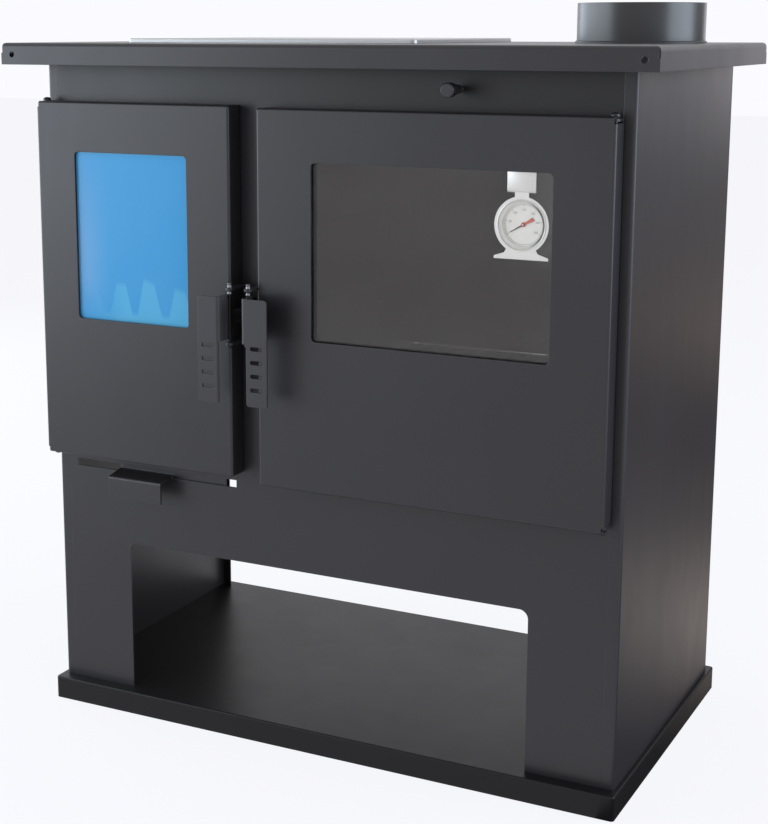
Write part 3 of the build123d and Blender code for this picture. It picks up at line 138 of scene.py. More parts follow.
class Board:
    """The nodes of one material or of the world, put together through a single method."""

    def __init__(self, tree: bpy.types.NodeTree) -> None:
        """Start on a cleared node tree."""
        self.tree = tree
        self.tree.nodes.clear()

    def node(self, kind: str, settings: Optional[Mapping[str, Any]] = None,
             inputs: Optional[Mapping[Union[str, int], Any]] = None) -> bpy.types.Node:
        """Add a node, set it, then fill its sockets.

        Args:
            kind: The node's type.
            settings: Its own settings; "stops" holds a ramp's positions and colours.
            inputs: Its sockets' values or links, by name or number.

        Returns:
            The new node.
        """
        node = self.tree.nodes.new(kind)
        for name, value in (settings or {}).items():
            if name == "stops":
                self._set_stops(node, value)
            else:
                setattr(node, name, value)
        for key, value in (inputs or {}).items():
            source = value.socket if isinstance(value, Value) else value
            if isinstance(source, Socket):
                self.tree.links.new(source, node.inputs[key])
            else:
                node.inputs[key].default_value = source
        return node

    @staticmethod
    def _set_stops(node: bpy.types.Node, stops: Sequence[tuple[float, Rgb]]) -> None:
        """Give a colour ramp its stops.

        Args:
            node: The ramp.
            stops: Positions with their colours, in order.
        """
        elements = node.color_ramp.elements
        while len(elements) < len(stops):
            elements.new(0.5)
        for element, (position, colour) in zip(elements, stops):
            element.position = position
            element.color = (*colour, 1.0)

    def place(self, centre: Rgb = ORIGIN, stretch: Rgb = (1.0, 1.0, 1.0)) -> Socket:
        """Object coordinates, moved and stretched.

        Args:
            centre: The point that becomes the pattern's middle.
            stretch: How much each direction is multiplied.

        Returns:
            The socket with the coordinates.
        """
        here = self.node("ShaderNodeTexCoord").outputs["Object"]
        moved = self.node("ShaderNodeVectorMath", {"operation": "SUBTRACT"}, {0: here, 1: centre})
        spread = self.node("ShaderNodeVectorMath", {"operation": "MULTIPLY"},
                           {0: moved.outputs[0], 1: stretch})
        return spread.outputs[0]

    def parts(self, vector: Socket) -> tuple[Value, Value, Value]:
        """Split a vector into its three numbers."""
        split = self.node("ShaderNodeSeparateXYZ", inputs={0: vector})
        return tuple(Value(self, output) for output in split.outputs)

    def noise(self, vector: Socket, scale: float, detail: float = 2.0,
              distortion: float = 0.0) -> Value:
        """Soft random patches, so many to the metre: between 0 and 1, mostly near the middle."""
        node = self.node("ShaderNodeTexNoise", inputs={
            "Vector": vector, "Scale": scale, "Detail": detail, "Distortion": distortion})
        return Value(self, node.outputs["Fac"])

    def cells(self, vector: Socket, scale: float, kind: Cell = Cell.DISTANCE) -> Value:
        """Cell pattern with so many cells to the metre."""
        node = self.node("ShaderNodeTexVoronoi", inputs={"Vector": vector, "Scale": scale})
        return Value(self, node.outputs[kind.value])

    def blend(self, first: Any, second: Any, share: Number) -> Socket:
        """Mix two colours.

        Args:
            first: A colour, or a socket with one, for a share of 0.
            second: The same for a share of 1.
            share: How much of the second.

        Returns:
            The mixed colour's socket.
        """
        colours = [(*c, 1.0) if isinstance(c, tuple) else c for c in (first, second)]
        node = self.node("ShaderNodeMix", {"data_type": "RGBA", "clamp_factor": True},
                         {0: share, 6: colours[0], 7: colours[1]})
        return node.outputs[2]

    def edges(self, radius: float) -> tuple[Value, Socket]:
        """Find the sharp edges of a piece.

        Args:
            radius: How far from the edge the effect reaches.

        Returns:
            A value that is 0 on flat faces and rises at sharp edges, and the rounded normal.
        """
        soft = self.node("ShaderNodeBevel", {"samples": 4}, {"Radius": radius}).outputs[0]
        flat = self.node("ShaderNodeNewGeometry").outputs["Normal"]
        both = self.node("ShaderNodeVectorMath", {"operation": "DOT_PRODUCT"}, {0: soft, 1: flat})
        return 1.0 - Value(self, both.outputs["Value"]), soft

    def bump(self, height: Value, depth: float, under: Optional[Socket] = None) -> Socket:
        """Turn a height into a normal.

        Args:
            height: The pattern, 0 low and 1 high.
            depth: The distance between low and high, in metres.
            under: A normal to start from.

        Returns:
            The normal's socket.
        """
        inputs = {"Strength": 1.0, "Distance": depth, "Height": height}
        if under is not None:
            inputs["Normal"] = under
        return self.node("ShaderNodeBump", inputs=inputs).outputs[0]

    def skin(self, **inputs: Any) -> Socket:
        """Add the main shader, its sockets named with underscores for spaces."""
        named = {key.replace("_", " "): (*value, 1.0) if isinstance(value, tuple) else value
                 for key, value in inputs.items()}
        return self.node("ShaderNodeBsdfPrincipled", inputs=named).outputs[0]

    def background_rays(self) -> Value:
        """Rays from the camera, from a mirror or through glass."""
        path = self.node("ShaderNodeLightPath")
        seen, mirrored, passed = (
            Value(self, path.outputs[f"Is {kind} Ray"]) for kind in ("Camera", "Glossy", "Transmission"))
        return (seen + mirrored + passed).math("MINIMUM", 1.0)


# ---------------------------------------------------------------- finishes
@dataclass(frozen=True)
class Finish:
    """What every finish shares: its name, and that its material is made once."""
    name: str
    made: ClassVar[dict["Finish", bpy.types.Material]] = {}

    def material(self) -> bpy.types.Material:
        """The finish's material, made when it is first asked for."""
        if self not in Finish.made:
            material = bpy.data.materials.new(f"{self.name}_finish")
            material.use_nodes = True
            board = Board(material.node_tree)
            board.node("ShaderNodeOutputMaterial", inputs={"Surface": self.make(board)})
            Finish.made[self] = material
        return Finish.made[self]

    def make(self, board: Board) -> Socket:
        """Put the finish's nodes on an empty board and return the shader's socket."""
        raise NotImplementedError

    def dress(self, piece: Piece) -> None:
        """Give a piece this finish and no other.

        Args:
            piece: A new piece or a node of the model.
        """
        if not piece.material_slots:
            piece.data.materials.append(self.material())
        for slot in piece.material_slots:
            slot.material = self.material()

    def cover(self, *nodes: str) -> None:
        """Give nodes of the model this finish."""
        for node in nodes:
            self.dress(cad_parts[node])


@dataclass(frozen=True)
class StovePaint(Finish):
    """Satin heat-proof paint with a fine orange peel, faint handling marks and rubbed edges.

    Where it has painted shading, it turns into another colour between two places along one direction:
    a painted shadow under an overhang, or a painted highlight on a grip's flange. Patterns are given in
    patches to the metre.
    """
    colour: Rgb = (0.0160, 0.0145, 0.0172)
    cloud: Rgb = (0.0225, 0.0210, 0.0240)
    rubbed: Rgb = (0.06, 0.058, 0.062)
    roughness: float = 0.36
    gloss: float = 1.47
    clouds: float = 3.2
    marks: float = 22.0
    peel: float = 620.0
    dust: float = 2300.0
    peel_depth: float = 0.03 * MM
    edge: float = 1.1 * MM
    # painted shading: the span, the direction and the colour of a painted shadow or a painted highlight
    fade: Optional[Pair] = None
    fade_along: Axis = Axis.Z
    faded: Rgb = (0.0012, 0.0012, 0.0012)

    def make(self, board: Board) -> Socket:
        """Put the paint's nodes on a board.

        Args:
            board: The empty board of the material.

        Returns:
            The shader's socket.
        """
        place = board.place()
        clouds = board.noise(place, self.clouds, 3.0, 0.4)
        marks = board.noise(board.place(stretch=(1.0, 1.0, 0.35)), self.marks, 4.0, 0.8)
        peel = board.noise(place, self.peel, 2.0)
        dust = board.noise(place, self.dust, 1.0)
        edge, soft = board.edges(self.edge)
        rub = (edge * 3.0).math("MULTIPLY", marks.step(0.35, 0.62), clamp=True)
        cloudy = clouds.step(0.3, 0.75) * 0.6 + dust.step(0.55, 0.8) * 0.25
        colour = board.blend(board.blend(self.colour, self.cloud, cloudy), self.rubbed, rub)
        # painted shading: the colour turns to another between two places, as a painted shadow or a painted
        # highlight
        if self.fade:
            along = board.parts(place)[self.fade_along.value]
            colour = board.blend(colour, self.faded, along.step(*self.fade))
        sheen = self.roughness + clouds.swing(0.12) + marks.swing(0.1) + dust.swing(0.08)
        normal = board.bump(peel * 0.75 + dust * 0.25, self.peel_depth, soft)
        return board.skin(Base_Color=colour, Roughness=sheen, Normal=normal, IOR=self.gloss)


@dataclass(frozen=True)
class CastIron(Finish):
    """Cast iron with a sand grain, and turning marks round an upright axis where it has one."""
    colour: Rgb = (0.026, 0.026, 0.028)
    worn: Rgb = (0.09, 0.088, 0.085)
    roughness: float = 0.56
    grain: float = 900.0
    pits: float = 420.0
    patches: float = 14.0
    turning: float = 2600.0
    grain_depth: float = 0.12 * MM
    edge: float = 1.2 * MM
    metal: float = 0.35
    mottle: float = 1.0
    axis: Optional[Pair] = None

    def make(self, board: Board) -> Socket:
        """Put the iron's nodes on a board.

        Args:
            board: The empty board of the material.

        Returns:
            The shader's socket.
        """
        place = board.place()
        grain = board.noise(place, self.grain, 3.0)
        pits = board.cells(place, self.pits)
        patches = board.noise(place, self.patches, 4.0, 0.5)
        edge, soft = board.edges(self.edge)
        height = grain * 0.7 + pits * 0.3
        if self.axis:
            along, across, _ = board.parts(board.place((*self.axis, 0.0)))
            radius = (along * along + across * across) ** 0.5
            height = height * 0.6 + (radius * self.turning + patches).sine() * 0.4
        wear = patches.step(0.45, 0.75) * (0.35 * self.mottle) + (edge * 2.5).math("MINIMUM", 0.7)
        colour = board.blend(self.colour, self.worn, wear)
        return board.skin(
            Base_Color=colour, Normal=board.bump(height, self.grain_depth, soft), Metallic=self.metal,
            Roughness=self.roughness + patches.swing(0.3 * self.mottle) + grain.swing(0.1))


@dataclass(frozen=True)
class RolledSteel(Finish):
    """Bare rolled or zinc-coated sheet: mottled, faintly streaked along its rolling."""
    colour: Rgb = (0.16, 0.165, 0.175)
    shade: Rgb = (0.07, 0.072, 0.08)
    roughness: float = 0.42
    spangle: float = 60.0
    patches: float = 9.0
    streaks: float = 700.0
    streak_depth: float = 0.02 * MM
    edge: float = 0.8 * MM
    metal: float = 0.85

    def make(self, board: Board) -> Socket:
        """Put the steel's nodes on a board.

        Args:
            board: The empty board of the material.

        Returns:
            The shader's socket.
        """
        place = board.place()
        crystals = board.cells(place, self.spangle, Cell.SHADE)
        patches = board.noise(place, self.patches, 5.0, 0.6)
        streaks = board.noise(board.place(stretch=(1.0, 1.0, 0.03)), self.streaks, 2.0)
        edge, soft = board.edges(self.edge)
        share = patches.step(0.3, 0.7) * 0.6 + crystals.swing(0.35) + streaks.swing(0.3)
        colour = board.blend(self.shade, self.colour, (share + edge * 2.0).math("MAXIMUM", 0.0))
        return board.skin(
            Base_Color=colour, Metallic=self.metal, Normal=board.bump(streaks, self.streak_depth, soft),
            Roughness=self.roughness + patches.swing(0.25) + crystals.swing(0.1))


@dataclass(frozen=True)
class BrightSteel(Finish):
    """Brushed or plated small steel parts, brushed along one direction, with a painted shadow across where
    asked.
    """
    colour: Rgb = (0.66, 0.655, 0.63)
    stain: Rgb = (0.48, 0.47, 0.44)
    roughness: float = 0.34
    brush: Rgb = (1.0, 1.0, 0.04)
    lines: float = 2600.0
    patches: float = 70.0
    line_depth: float = 0.008 * MM
    edge: float = 0.3 * MM
    metal: float = 0.8
    fade: Optional[Pair] = None
    faded: Rgb = (0.04, 0.04, 0.04)

    def make(self, board: Board) -> Socket:
        """Put the steel's nodes on a board.

        Args:
            board: The empty board of the material.

        Returns:
            The shader's socket.
        """
        place = board.place()
        lines = board.noise(board.place(stretch=self.brush), self.lines, 2.0)
        patches = board.noise(place, self.patches, 4.0, 0.5)
        edge, soft = board.edges(self.edge)
        colour = board.blend(self.colour, self.stain, patches.step(0.45, 0.8) * 0.6 + lines.swing(0.25))
        # painted shadow: darker across, between two places
        if self.fade:
            across = board.parts(place)[Axis.X.value]
            colour = board.blend(colour, self.faded, across.step(*self.fade))
        return board.skin(
            Base_Color=colour, Metallic=self.metal, Normal=board.bump(lines, self.line_depth, soft),
            Roughness=self.roughness + patches.swing(0.2) + lines.swing(0.12) + edge * 0.2)


@dataclass(frozen=True)
class Enamel(Finish):
    """Glossy dark enamel with small pale flecks."""
    colour: Rgb = (0.012, 0.012, 0.016)
    fleck: Rgb = (0.22, 0.23, 0.26)
    flecks: float = 330.0
    swarms: float = 120.0
    flow: float = 55.0
    flow_depth: float = 0.02 * MM

    def make(self, board: Board) -> Socket:
        """Put the enamel's nodes on a board.

        Args:
            board: The empty board of the material.

        Returns:
            The shader's socket.
        """
        place = board.place()
        swarms = board.noise(place, self.swarms, 2.0).step(0.52, 0.6)
        flecks = board.cells(place, self.flecks).step(0.19, 0.12) * swarms
        flow = board.noise(place, self.flow, 3.0)
        colour = board.blend(self.colour, self.fleck, flecks)
        return board.skin(
            Base_Color=colour, Roughness=0.18 + flow.swing(0.16) + flecks * 0.1, Coat_Weight=0.4,
            Coat_Roughness=0.08, Normal=board.bump(flow, self.flow_depth))


@dataclass(frozen=True)
class Firebrick(Finish):
    """Pale pressed brick with coarse flakes and a soft bed of soot."""
    colour: Rgb = (0.56, 0.44, 0.28)
    flake: Rgb = (0.74, 0.62, 0.42)
    soot: Rgb = (0.09, 0.075, 0.06)
    flakes: float = 260.0
    grain: float = 480.0
    smoke: float = 9.0
    grain_depth: float = 0.6 * MM
    edge: float = 3.0 * MM

    def make(self, board: Board) -> Socket:
        """Put the brick's nodes on a board.

        Args:
            board: The empty board of the material.

        Returns:
            The shader's socket.
        """
        place = board.place()
        flakes = board.cells(place, self.flakes, Cell.SHADE)
        grain = board.noise(place, self.grain, 4.0)
        smoke = board.noise(place, self.smoke, 4.0, 0.8)
        edge, soft = board.edges(self.edge)
        colour = board.blend(self.colour, self.flake, flakes)
        colour = board.blend(colour, self.soot, smoke.step(0.42, 0.72) * 0.6 + edge * 0.6)
        return board.skin(
            Base_Color=colour, Roughness=0.9 + grain.swing(0.1),
            Normal=board.bump(grain * 0.6 + flakes * 0.4, self.grain_depth, soft))


@dataclass(frozen=True)
class Woven(Finish):
    """Glass-fibre tape or rope with fine yarns."""
    colour: Rgb = (0.05, 0.05, 0.052)
    yarn: Rgb = (0.14, 0.14, 0.14)
    yarns: float = 2200.0
    fluff: float = 1800.0
    yarn_depth: float = 0.2 * MM

    def make(self, board: Board) -> Socket:
        """Put the yarns' nodes on a board.

        Args:
            board: The empty board of the material.

        Returns:
            The shader's socket.
        """
        along, depth, up = board.parts(board.place())
        rising = ((along + up + depth) * self.yarns).sine()
        falling = ((along - up + depth) * self.yarns).sine()
        weave = rising * falling
        fluff = board.noise(board.place(), self.fluff, 3.0)
        colour = board.blend(self.colour, self.yarn, weave * 0.7 + (fluff - 0.4) * 0.6)
        return board.skin(
            Base_Color=colour, Roughness=0.85 + fluff.swing(0.2),
            Normal=board.bump(weave * 0.7 + fluff * 0.3, self.yarn_depth))


@dataclass(frozen=True)
class ClearPane(Finish):
    """Glass that is seen through, with a haze of fingerprints.

    It mirrors the room faintly straight on, and more towards a grazing view.
    """
    tint: Rgb = (0.985, 0.985, 0.98)
    mirror: Rgb = (0.93, 0.89, 0.87)
    ior: float = 1.5
    grazing_power: float = 5.0
    haze: float = 0.03
    smears: float = 30.0

    def make(self, board: Board) -> Socket:
        """Put the glass's nodes on a board.

        Args:
            board: The empty board of the material.

        Returns:
            The shader's socket.
        """
        smears = board.noise(board.place(), self.smears, 5.0, 0.3)
        through = board.node("ShaderNodeBsdfTransparent", inputs={"Color": (*self.tint, 1.0)}).outputs[0]
        mirror = board.skin(Base_Color=self.mirror, Metallic=1.0,
                            Roughness=0.03 + smears.step(0.4, 0.8) * 0.12)
        weight = board.node("ShaderNodeLayerWeight", inputs={"Blend": 0.5})
        grazing = Value(board, weight.outputs["Facing"]) ** self.grazing_power
        straight = ((self.ior - 1.0) / (self.ior + 1.0)) ** 2
        share = grazing * (1.0 - straight) + straight + smears.step(0.45, 0.8) * self.haze
        mixed = board.node("ShaderNodeMixShader", inputs={0: share, 1: through, 2: mirror})
        return mixed.outputs[0]


@dataclass(frozen=True)
class PaneFilm(Finish):
    """Blue protective film on the fire door's pane, paler on one side and in bumps along its foot.

    Its paleness on one side and its humps along the foot are a painted reflection, and its right and top
    edges are painted lighter in the same colour. Its patterns lie in shares of the film's width and height,
    between its low and its high corner.
    """
    low: Rgb = ORIGIN
    high: Rgb = (1.0, 1.0, 1.0)
    colour: Rgb = (0.048, 0.300, 0.592)
    pale: Rgb = (0.118, 0.335, 0.600)
    bubble: Rgb = (0.095, 0.405, 0.630)
    humps: Pair = (23.7, -1.7)
    foot: float = 0.05
    waves: float = 24.0
    drift: float = 14.0
    ripple: float = 90.0
    ripple_depth: float = 0.08 * MM
    gloss: float = 1.28

    def make(self, board: Board) -> Socket:
        """Put the film's nodes on a board.

        Args:
            board: The empty board of the material.

        Returns:
            The shader's socket.
        """
        across, _, up = board.parts(board.place())
        left, _, bottom = self.low
        right, _, top = self.high
        side = (across - left) * (1.0 / (right - left))
        rise = (up - bottom) * (1.0 / (top - bottom))
        waves = board.noise(board.place(stretch=(1.0, 0.0, 0.1)), self.waves, 1.0)
        drift = board.noise(board.place(), self.drift, 3.0, 0.6)
        rate, start = self.humps
        # painted reflection: pale humps along the foot and a pale band on the left side; the right and top
        # edges are painted lighter in the same colour
        humps = (side * rate + start + waves).sine().step(0.1, 0.75)
        crest = humps * (waves * 0.17 + 0.09) + self.foot
        bumps = (rise - crest).step(0.015, -0.015) * side.step(0.1, 0.45)
        band = side.step(0.3, 0.08) * rise.step(0.0, 0.25) * rise.step(1.1, 0.45)
        rim = side.step(0.975, 0.995) + rise.step(0.985, 0.995)
        colour = board.blend(self.colour, self.pale, band + drift.swing(0.4))
        colour = board.blend(colour, self.bubble, bumps * 0.75 + rim * 0.6)
        ripple = board.noise(board.place(), self.ripple, 2.0)
        return board.skin(
            Base_Color=colour, Roughness=0.24 + drift.swing(0.12), IOR=self.gloss,
            Normal=board.bump(ripple * 0.8 + waves * 0.2, self.ripple_depth))


@dataclass(frozen=True)
class Print(Finish):
    """Ink or enamel on small printed parts, faintly uneven."""
    colour: Rgb = (0.62, 0.615, 0.59)
    uneven: Rgb = (0.54, 0.53, 0.50)
    roughness: float = 0.5
    patches: float = 160.0
    grain: float = 3000.0
    grain_depth: float = 0.006 * MM

    def make(self, board: Board) -> Socket:
        """Put the print's nodes on a board.

        Args:
            board: The empty board of the material.

        Returns:
            The shader's socket.
        """
        patches = board.noise(board.place(), self.patches, 4.0)
        grain = board.noise(board.place(), self.grain, 2.0)
        colour = board.blend(self.colour, self.uneven, patches.step(0.35, 0.75) * 0.7)
        return board.skin(
            Base_Color=colour, Roughness=self.roughness + patches.swing(0.15),
            Normal=board.bump(grain, self.grain_depth))


@dataclass(frozen=True)
class PointerPaint(Finish):
    """Red paint on the pointer's broad end, dark on its thin tip."""
    centre: Rgb = ORIGIN
    turn: float = 210.0
    change: Pair = (2.2 * MM, 3.2 * MM)
    wear: float = 500.0
    wear_depth: float = 0.01 * MM
    broad: Rgb = (0.80, 0.15, 0.11)
    tip: Rgb = (0.05, 0.02, 0.02)

    def make(self, board: Board) -> Socket:
        """Put the pointer's nodes on a board.

        Args:
            board: The empty board of the material.

        Returns:
            The shader's socket.
        """
        across, _, up = board.parts(board.place(self.centre))
        angle = math.radians(self.turn)
        along = across * math.cos(angle) + up * math.sin(angle)
        worn = board.noise(board.place(), self.wear, 3.0)
        colour = board.blend(self.broad, self.tip, along.step(*self.change) + worn.swing(0.2))
        return board.skin(
            Base_Color=colour, Roughness=0.4 + worn.swing(0.2), Normal=board.bump(worn, self.wear_depth))


@dataclass(frozen=True)
class Shades(Finish):
    """Glowing studio card seen only in reflections: its glow is painted light that changes along one
    direction, painted darker towards one side.
    """
    along: Axis = Axis.Z
    dim: Pair = (8.0, 9.0)
    dimmed: Rgb = (0.03, 0.025, 0.022)
    card: Rgb = (0.02, 0.02, 0.02)
    fibre: float = 300.0
    stops: tuple[tuple[float, Rgb], ...] = ()

    def make(self, board: Board) -> Socket:
        """Put the card's nodes on a board.

        Args:
            board: The empty board of the material.

        Returns:
            The shader's socket.
        """
        place = board.place()
        numbers = board.parts(place)
        ramp = board.node("ShaderNodeValToRGB", {"stops": self.stops}, {0: numbers[self.along.value]})
        fibre = board.noise(place, self.fibre, 3.0)
        # painted shade: the glow darkens towards one side, with a faint fibre
        shade = numbers[Axis.X.value].step(*self.dim) * 0.75 + fibre * 0.1
        colour = board.blend(ramp.outputs[0], self.dimmed, shade)
        return board.skin(Base_Color=self.card, Emission_Color=colour, Emission_Strength=1.0,
                          Roughness=0.95 - fibre * 0.1)


@dataclass(frozen=True)
class StudioFloor(Finish):
    """Plain pale floor that melts into the background and keeps the stove's shadow."""
    colour: Rgb = (0.93, 0.93, 0.96)
    speck: Rgb = (0.9, 0.9, 0.93)
    plain: float = 0.9
    grain: float = 40.0

    def make(self, board: Board) -> Socket:
        """Put the floor's nodes on a board.

        Args:
            board: The empty board of the material.

        Returns:
            The shader's socket.
        """
        grain = board.noise(board.place(), self.grain, 3.0)
        lit = board.skin(Base_Color=board.blend(self.colour, self.speck, grain * 0.4),
                         Roughness=0.75 + grain.swing(0.1))
        glow = board.node("ShaderNodeEmission", inputs={"Color": (*BACKGROUND, 1.0), "Strength": 1.0})
        share = board.background_rays() * self.plain
        mixed = board.node("ShaderNodeMixShader", inputs={0: share, 1: lit, 2: glow.outputs[0]})
        return mixed.outputs[0]


# ---------------------------------------------------------------- modelling tools
class Element(Enum):
    """What is picked in edit mode."""
    VERTEX = "VERT"
    EDGE = "EDGE"
    FACE = "FACE"


Test = Callable[[Vector, Vector], bool]


class Bench:
    """The modelling tools, used on one piece at a time."""

    @staticmethod
    def clear() -> None:
        """Go to object mode with nothing selected."""
        if bpy.context.mode != "OBJECT":
            bpy.ops.object.mode_set(mode="OBJECT")
        bpy.ops.object.select_all(action="DESELECT")

    @staticmethod
    def added(name: str) -> Piece:
        """Name the piece that was just added.

        Args:
            name: The piece's name.

        Returns:
            The piece.
        """
        piece = bpy.context.active_object
        piece.name = name
        piece.data.name = name
        return piece

    @staticmethod
    def upright_plate(name: str, middle: Sequence[float], width: float, height: float) -> Piece:
        """Add a flat rectangle that faces the front.

        Args:
            name: The piece's name.
            middle: Its middle.
            width: Its size across.
            height: Its size upwards.

        Returns:
            The piece.
        """
        Bench.clear()
        bpy.ops.mesh.primitive_plane_add(size=1.0, location=middle, rotation=FACING_FRONT)
        plate = Bench.added(name)
        Bench.edit(plate, Element.VERTEX)
        Bench.pick_all()
        Bench.stretch((width, 1.0, height), middle)
        return Bench.settle(plate)

    @staticmethod
    def take(piece: Piece) -> None:
        """Make one piece the selected and active one."""
        Bench.clear()
        piece.select_set(True)
        bpy.context.view_layer.objects.active = piece

    @staticmethod
    def edit(piece: Piece, element: Element = Element.FACE) -> None:
        """Open a piece in edit mode with nothing selected.

        Args:
            piece: The piece to open.
            element: What will be picked.
        """
        Bench.take(piece)
        bpy.ops.object.mode_set(mode="EDIT")
        bpy.ops.mesh.select_mode(type=element.value)
        bpy.ops.mesh.select_all(action="DESELECT")

    @staticmethod
    def pick(piece: Piece, element: Element, test: Test) -> int:
        """Select by place and normal what passes a test.

        Args:
            piece: The piece that is open in edit mode.
            element: What is picked.
            test: Told the middle and the normal, says whether to select. An edge's normal is its direction.

        Returns:
            How many were selected.
        """
        mesh = bmesh.from_edit_mesh(piece.data)
        place = piece.matrix_world
        turn = place.to_3x3()
        count = 0
        bpy.ops.mesh.select_mode(type=element.value)
        if element is Element.FACE:
            found = [(f, place @ f.calc_center_median(), turn @ f.normal) for f in mesh.faces]
        elif element is Element.EDGE:
            found = [(e, place @ ((e.verts[0].co + e.verts[1].co) / 2),
                      turn @ (e.verts[1].co - e.verts[0].co).normalized()) for e in mesh.edges]
        else:
            found = [(v, place @ v.co, turn @ v.normal) for v in mesh.verts]
        for part, _, _ in found:
            part.select_set(False)
        for part, middle, normal in found:
            if test(middle, normal):
                part.select_set(True)
                count += 1
        mesh.select_flush_mode()
        bmesh.update_edit_mesh(piece.data)
        return count

    @staticmethod
    def pick_all() -> None:
        """Select all of the open piece."""
        bpy.ops.mesh.select_all(action="SELECT")

    @staticmethod
    def stretch(shares: Rgb, about: Sequence[float]) -> None:
        """Scale what is selected about a point."""
        bpy.ops.transform.resize(value=shares, center_override=tuple(about))

    @staticmethod
    def extrude(x: float = 0.0, y: float = 0.0, z: float = 0.0) -> None:
        """Extrude what is selected by a move."""
        bpy.ops.mesh.extrude_region_move(TRANSFORM_OT_translate={"value": (x, y, z)})

    @staticmethod
    def close(merge: bool = False) -> None:
        """Leave edit mode, with doubles merged and normals turned outwards if asked.

        Args:
            merge: Whether the mesh is cleaned first.
        """
        if merge:
            Bench.pick_all()
            bpy.ops.mesh.remove_doubles(threshold=TOUCH)
            bpy.ops.mesh.normals_make_consistent(inside=False)
        bpy.ops.object.mode_set(mode="OBJECT")

    @staticmethod
    def modify(piece: Piece, kind: str, **settings: Any) -> None:
        """Add a modifier and apply it.

        Args:
            piece: The piece.
            kind: The modifier's type.
            settings: The modifier's settings.
        """
        Bench.take(piece)
        modifier = piece.modifiers.new(kind.title(), kind)
        for name, value in settings.items():
            setattr(modifier, name, value)
        bpy.ops.object.modifier_apply(modifier=modifier.name)

    @staticmethod
    def settle(piece: Piece, angle: float = 32.0) -> Piece:
        """Put the piece's place into its mesh and smooth its gentle angles.

        Args:
            piece: The piece.
            angle: Faces that meet at less than this look smooth, in degrees.

        Returns:
            The piece.
        """
        Bench.take(piece)
        bpy.ops.object.transform_apply(location=True, rotation=True, scale=True)
        bpy.ops.object.shade_smooth_by_angle(angle=math.radians(angle))
        return piece

    @staticmethod
    def copy(piece: Piece, change: Matrix) -> Piece:
        """Copy a settled piece with its own mesh.

        Args:
            piece: The piece to copy.
            change: How the copy is moved or turned.

        Returns:
            The copy.
        """
        twin = piece.copy()
        twin.data = piece.data.copy()
        twin.data.transform(change)
        bpy.context.scene.collection.objects.link(twin)
        return twin

    @staticmethod
    def join(pieces: Sequence[Piece], name: str) -> Piece:
        """Join pieces into the first one.

        Args:
            pieces: The pieces.
            name: The name of what they become.

        Returns:
            The joined piece.
        """
        Bench.clear()
        for piece in pieces:
            piece.select_set(True)
        bpy.context.view_layer.objects.active = pieces[0]
        if len(pieces) > 1:
            bpy.ops.object.join()
        return Bench.added(name)


def report(piece: Piece, body: str, finish: Finish,
           replaced: Sequence[str] = ()) -> Piece:
    """Finish a new piece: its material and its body.

    Args:
        piece: The piece, settled in its place.
        body: The body that it moves with.
        finish: Its finish.
        replaced: Nodes of the model that it stands for.

    Returns:
        The piece.
    """
    finish.dress(piece)
    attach(piece, body)
    if replaced:
        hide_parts(*replaced)
    log.info("%s rides on %s with %d faces", piece.name, body, len(piece.data.polygons))
    return piece


# ---------------------------------------------------------------- the stove's own pieces
CHARCOAL = StovePaint("charcoal_paint")
PLATED = BrightSteel("plated_steel", roughness=0.3)


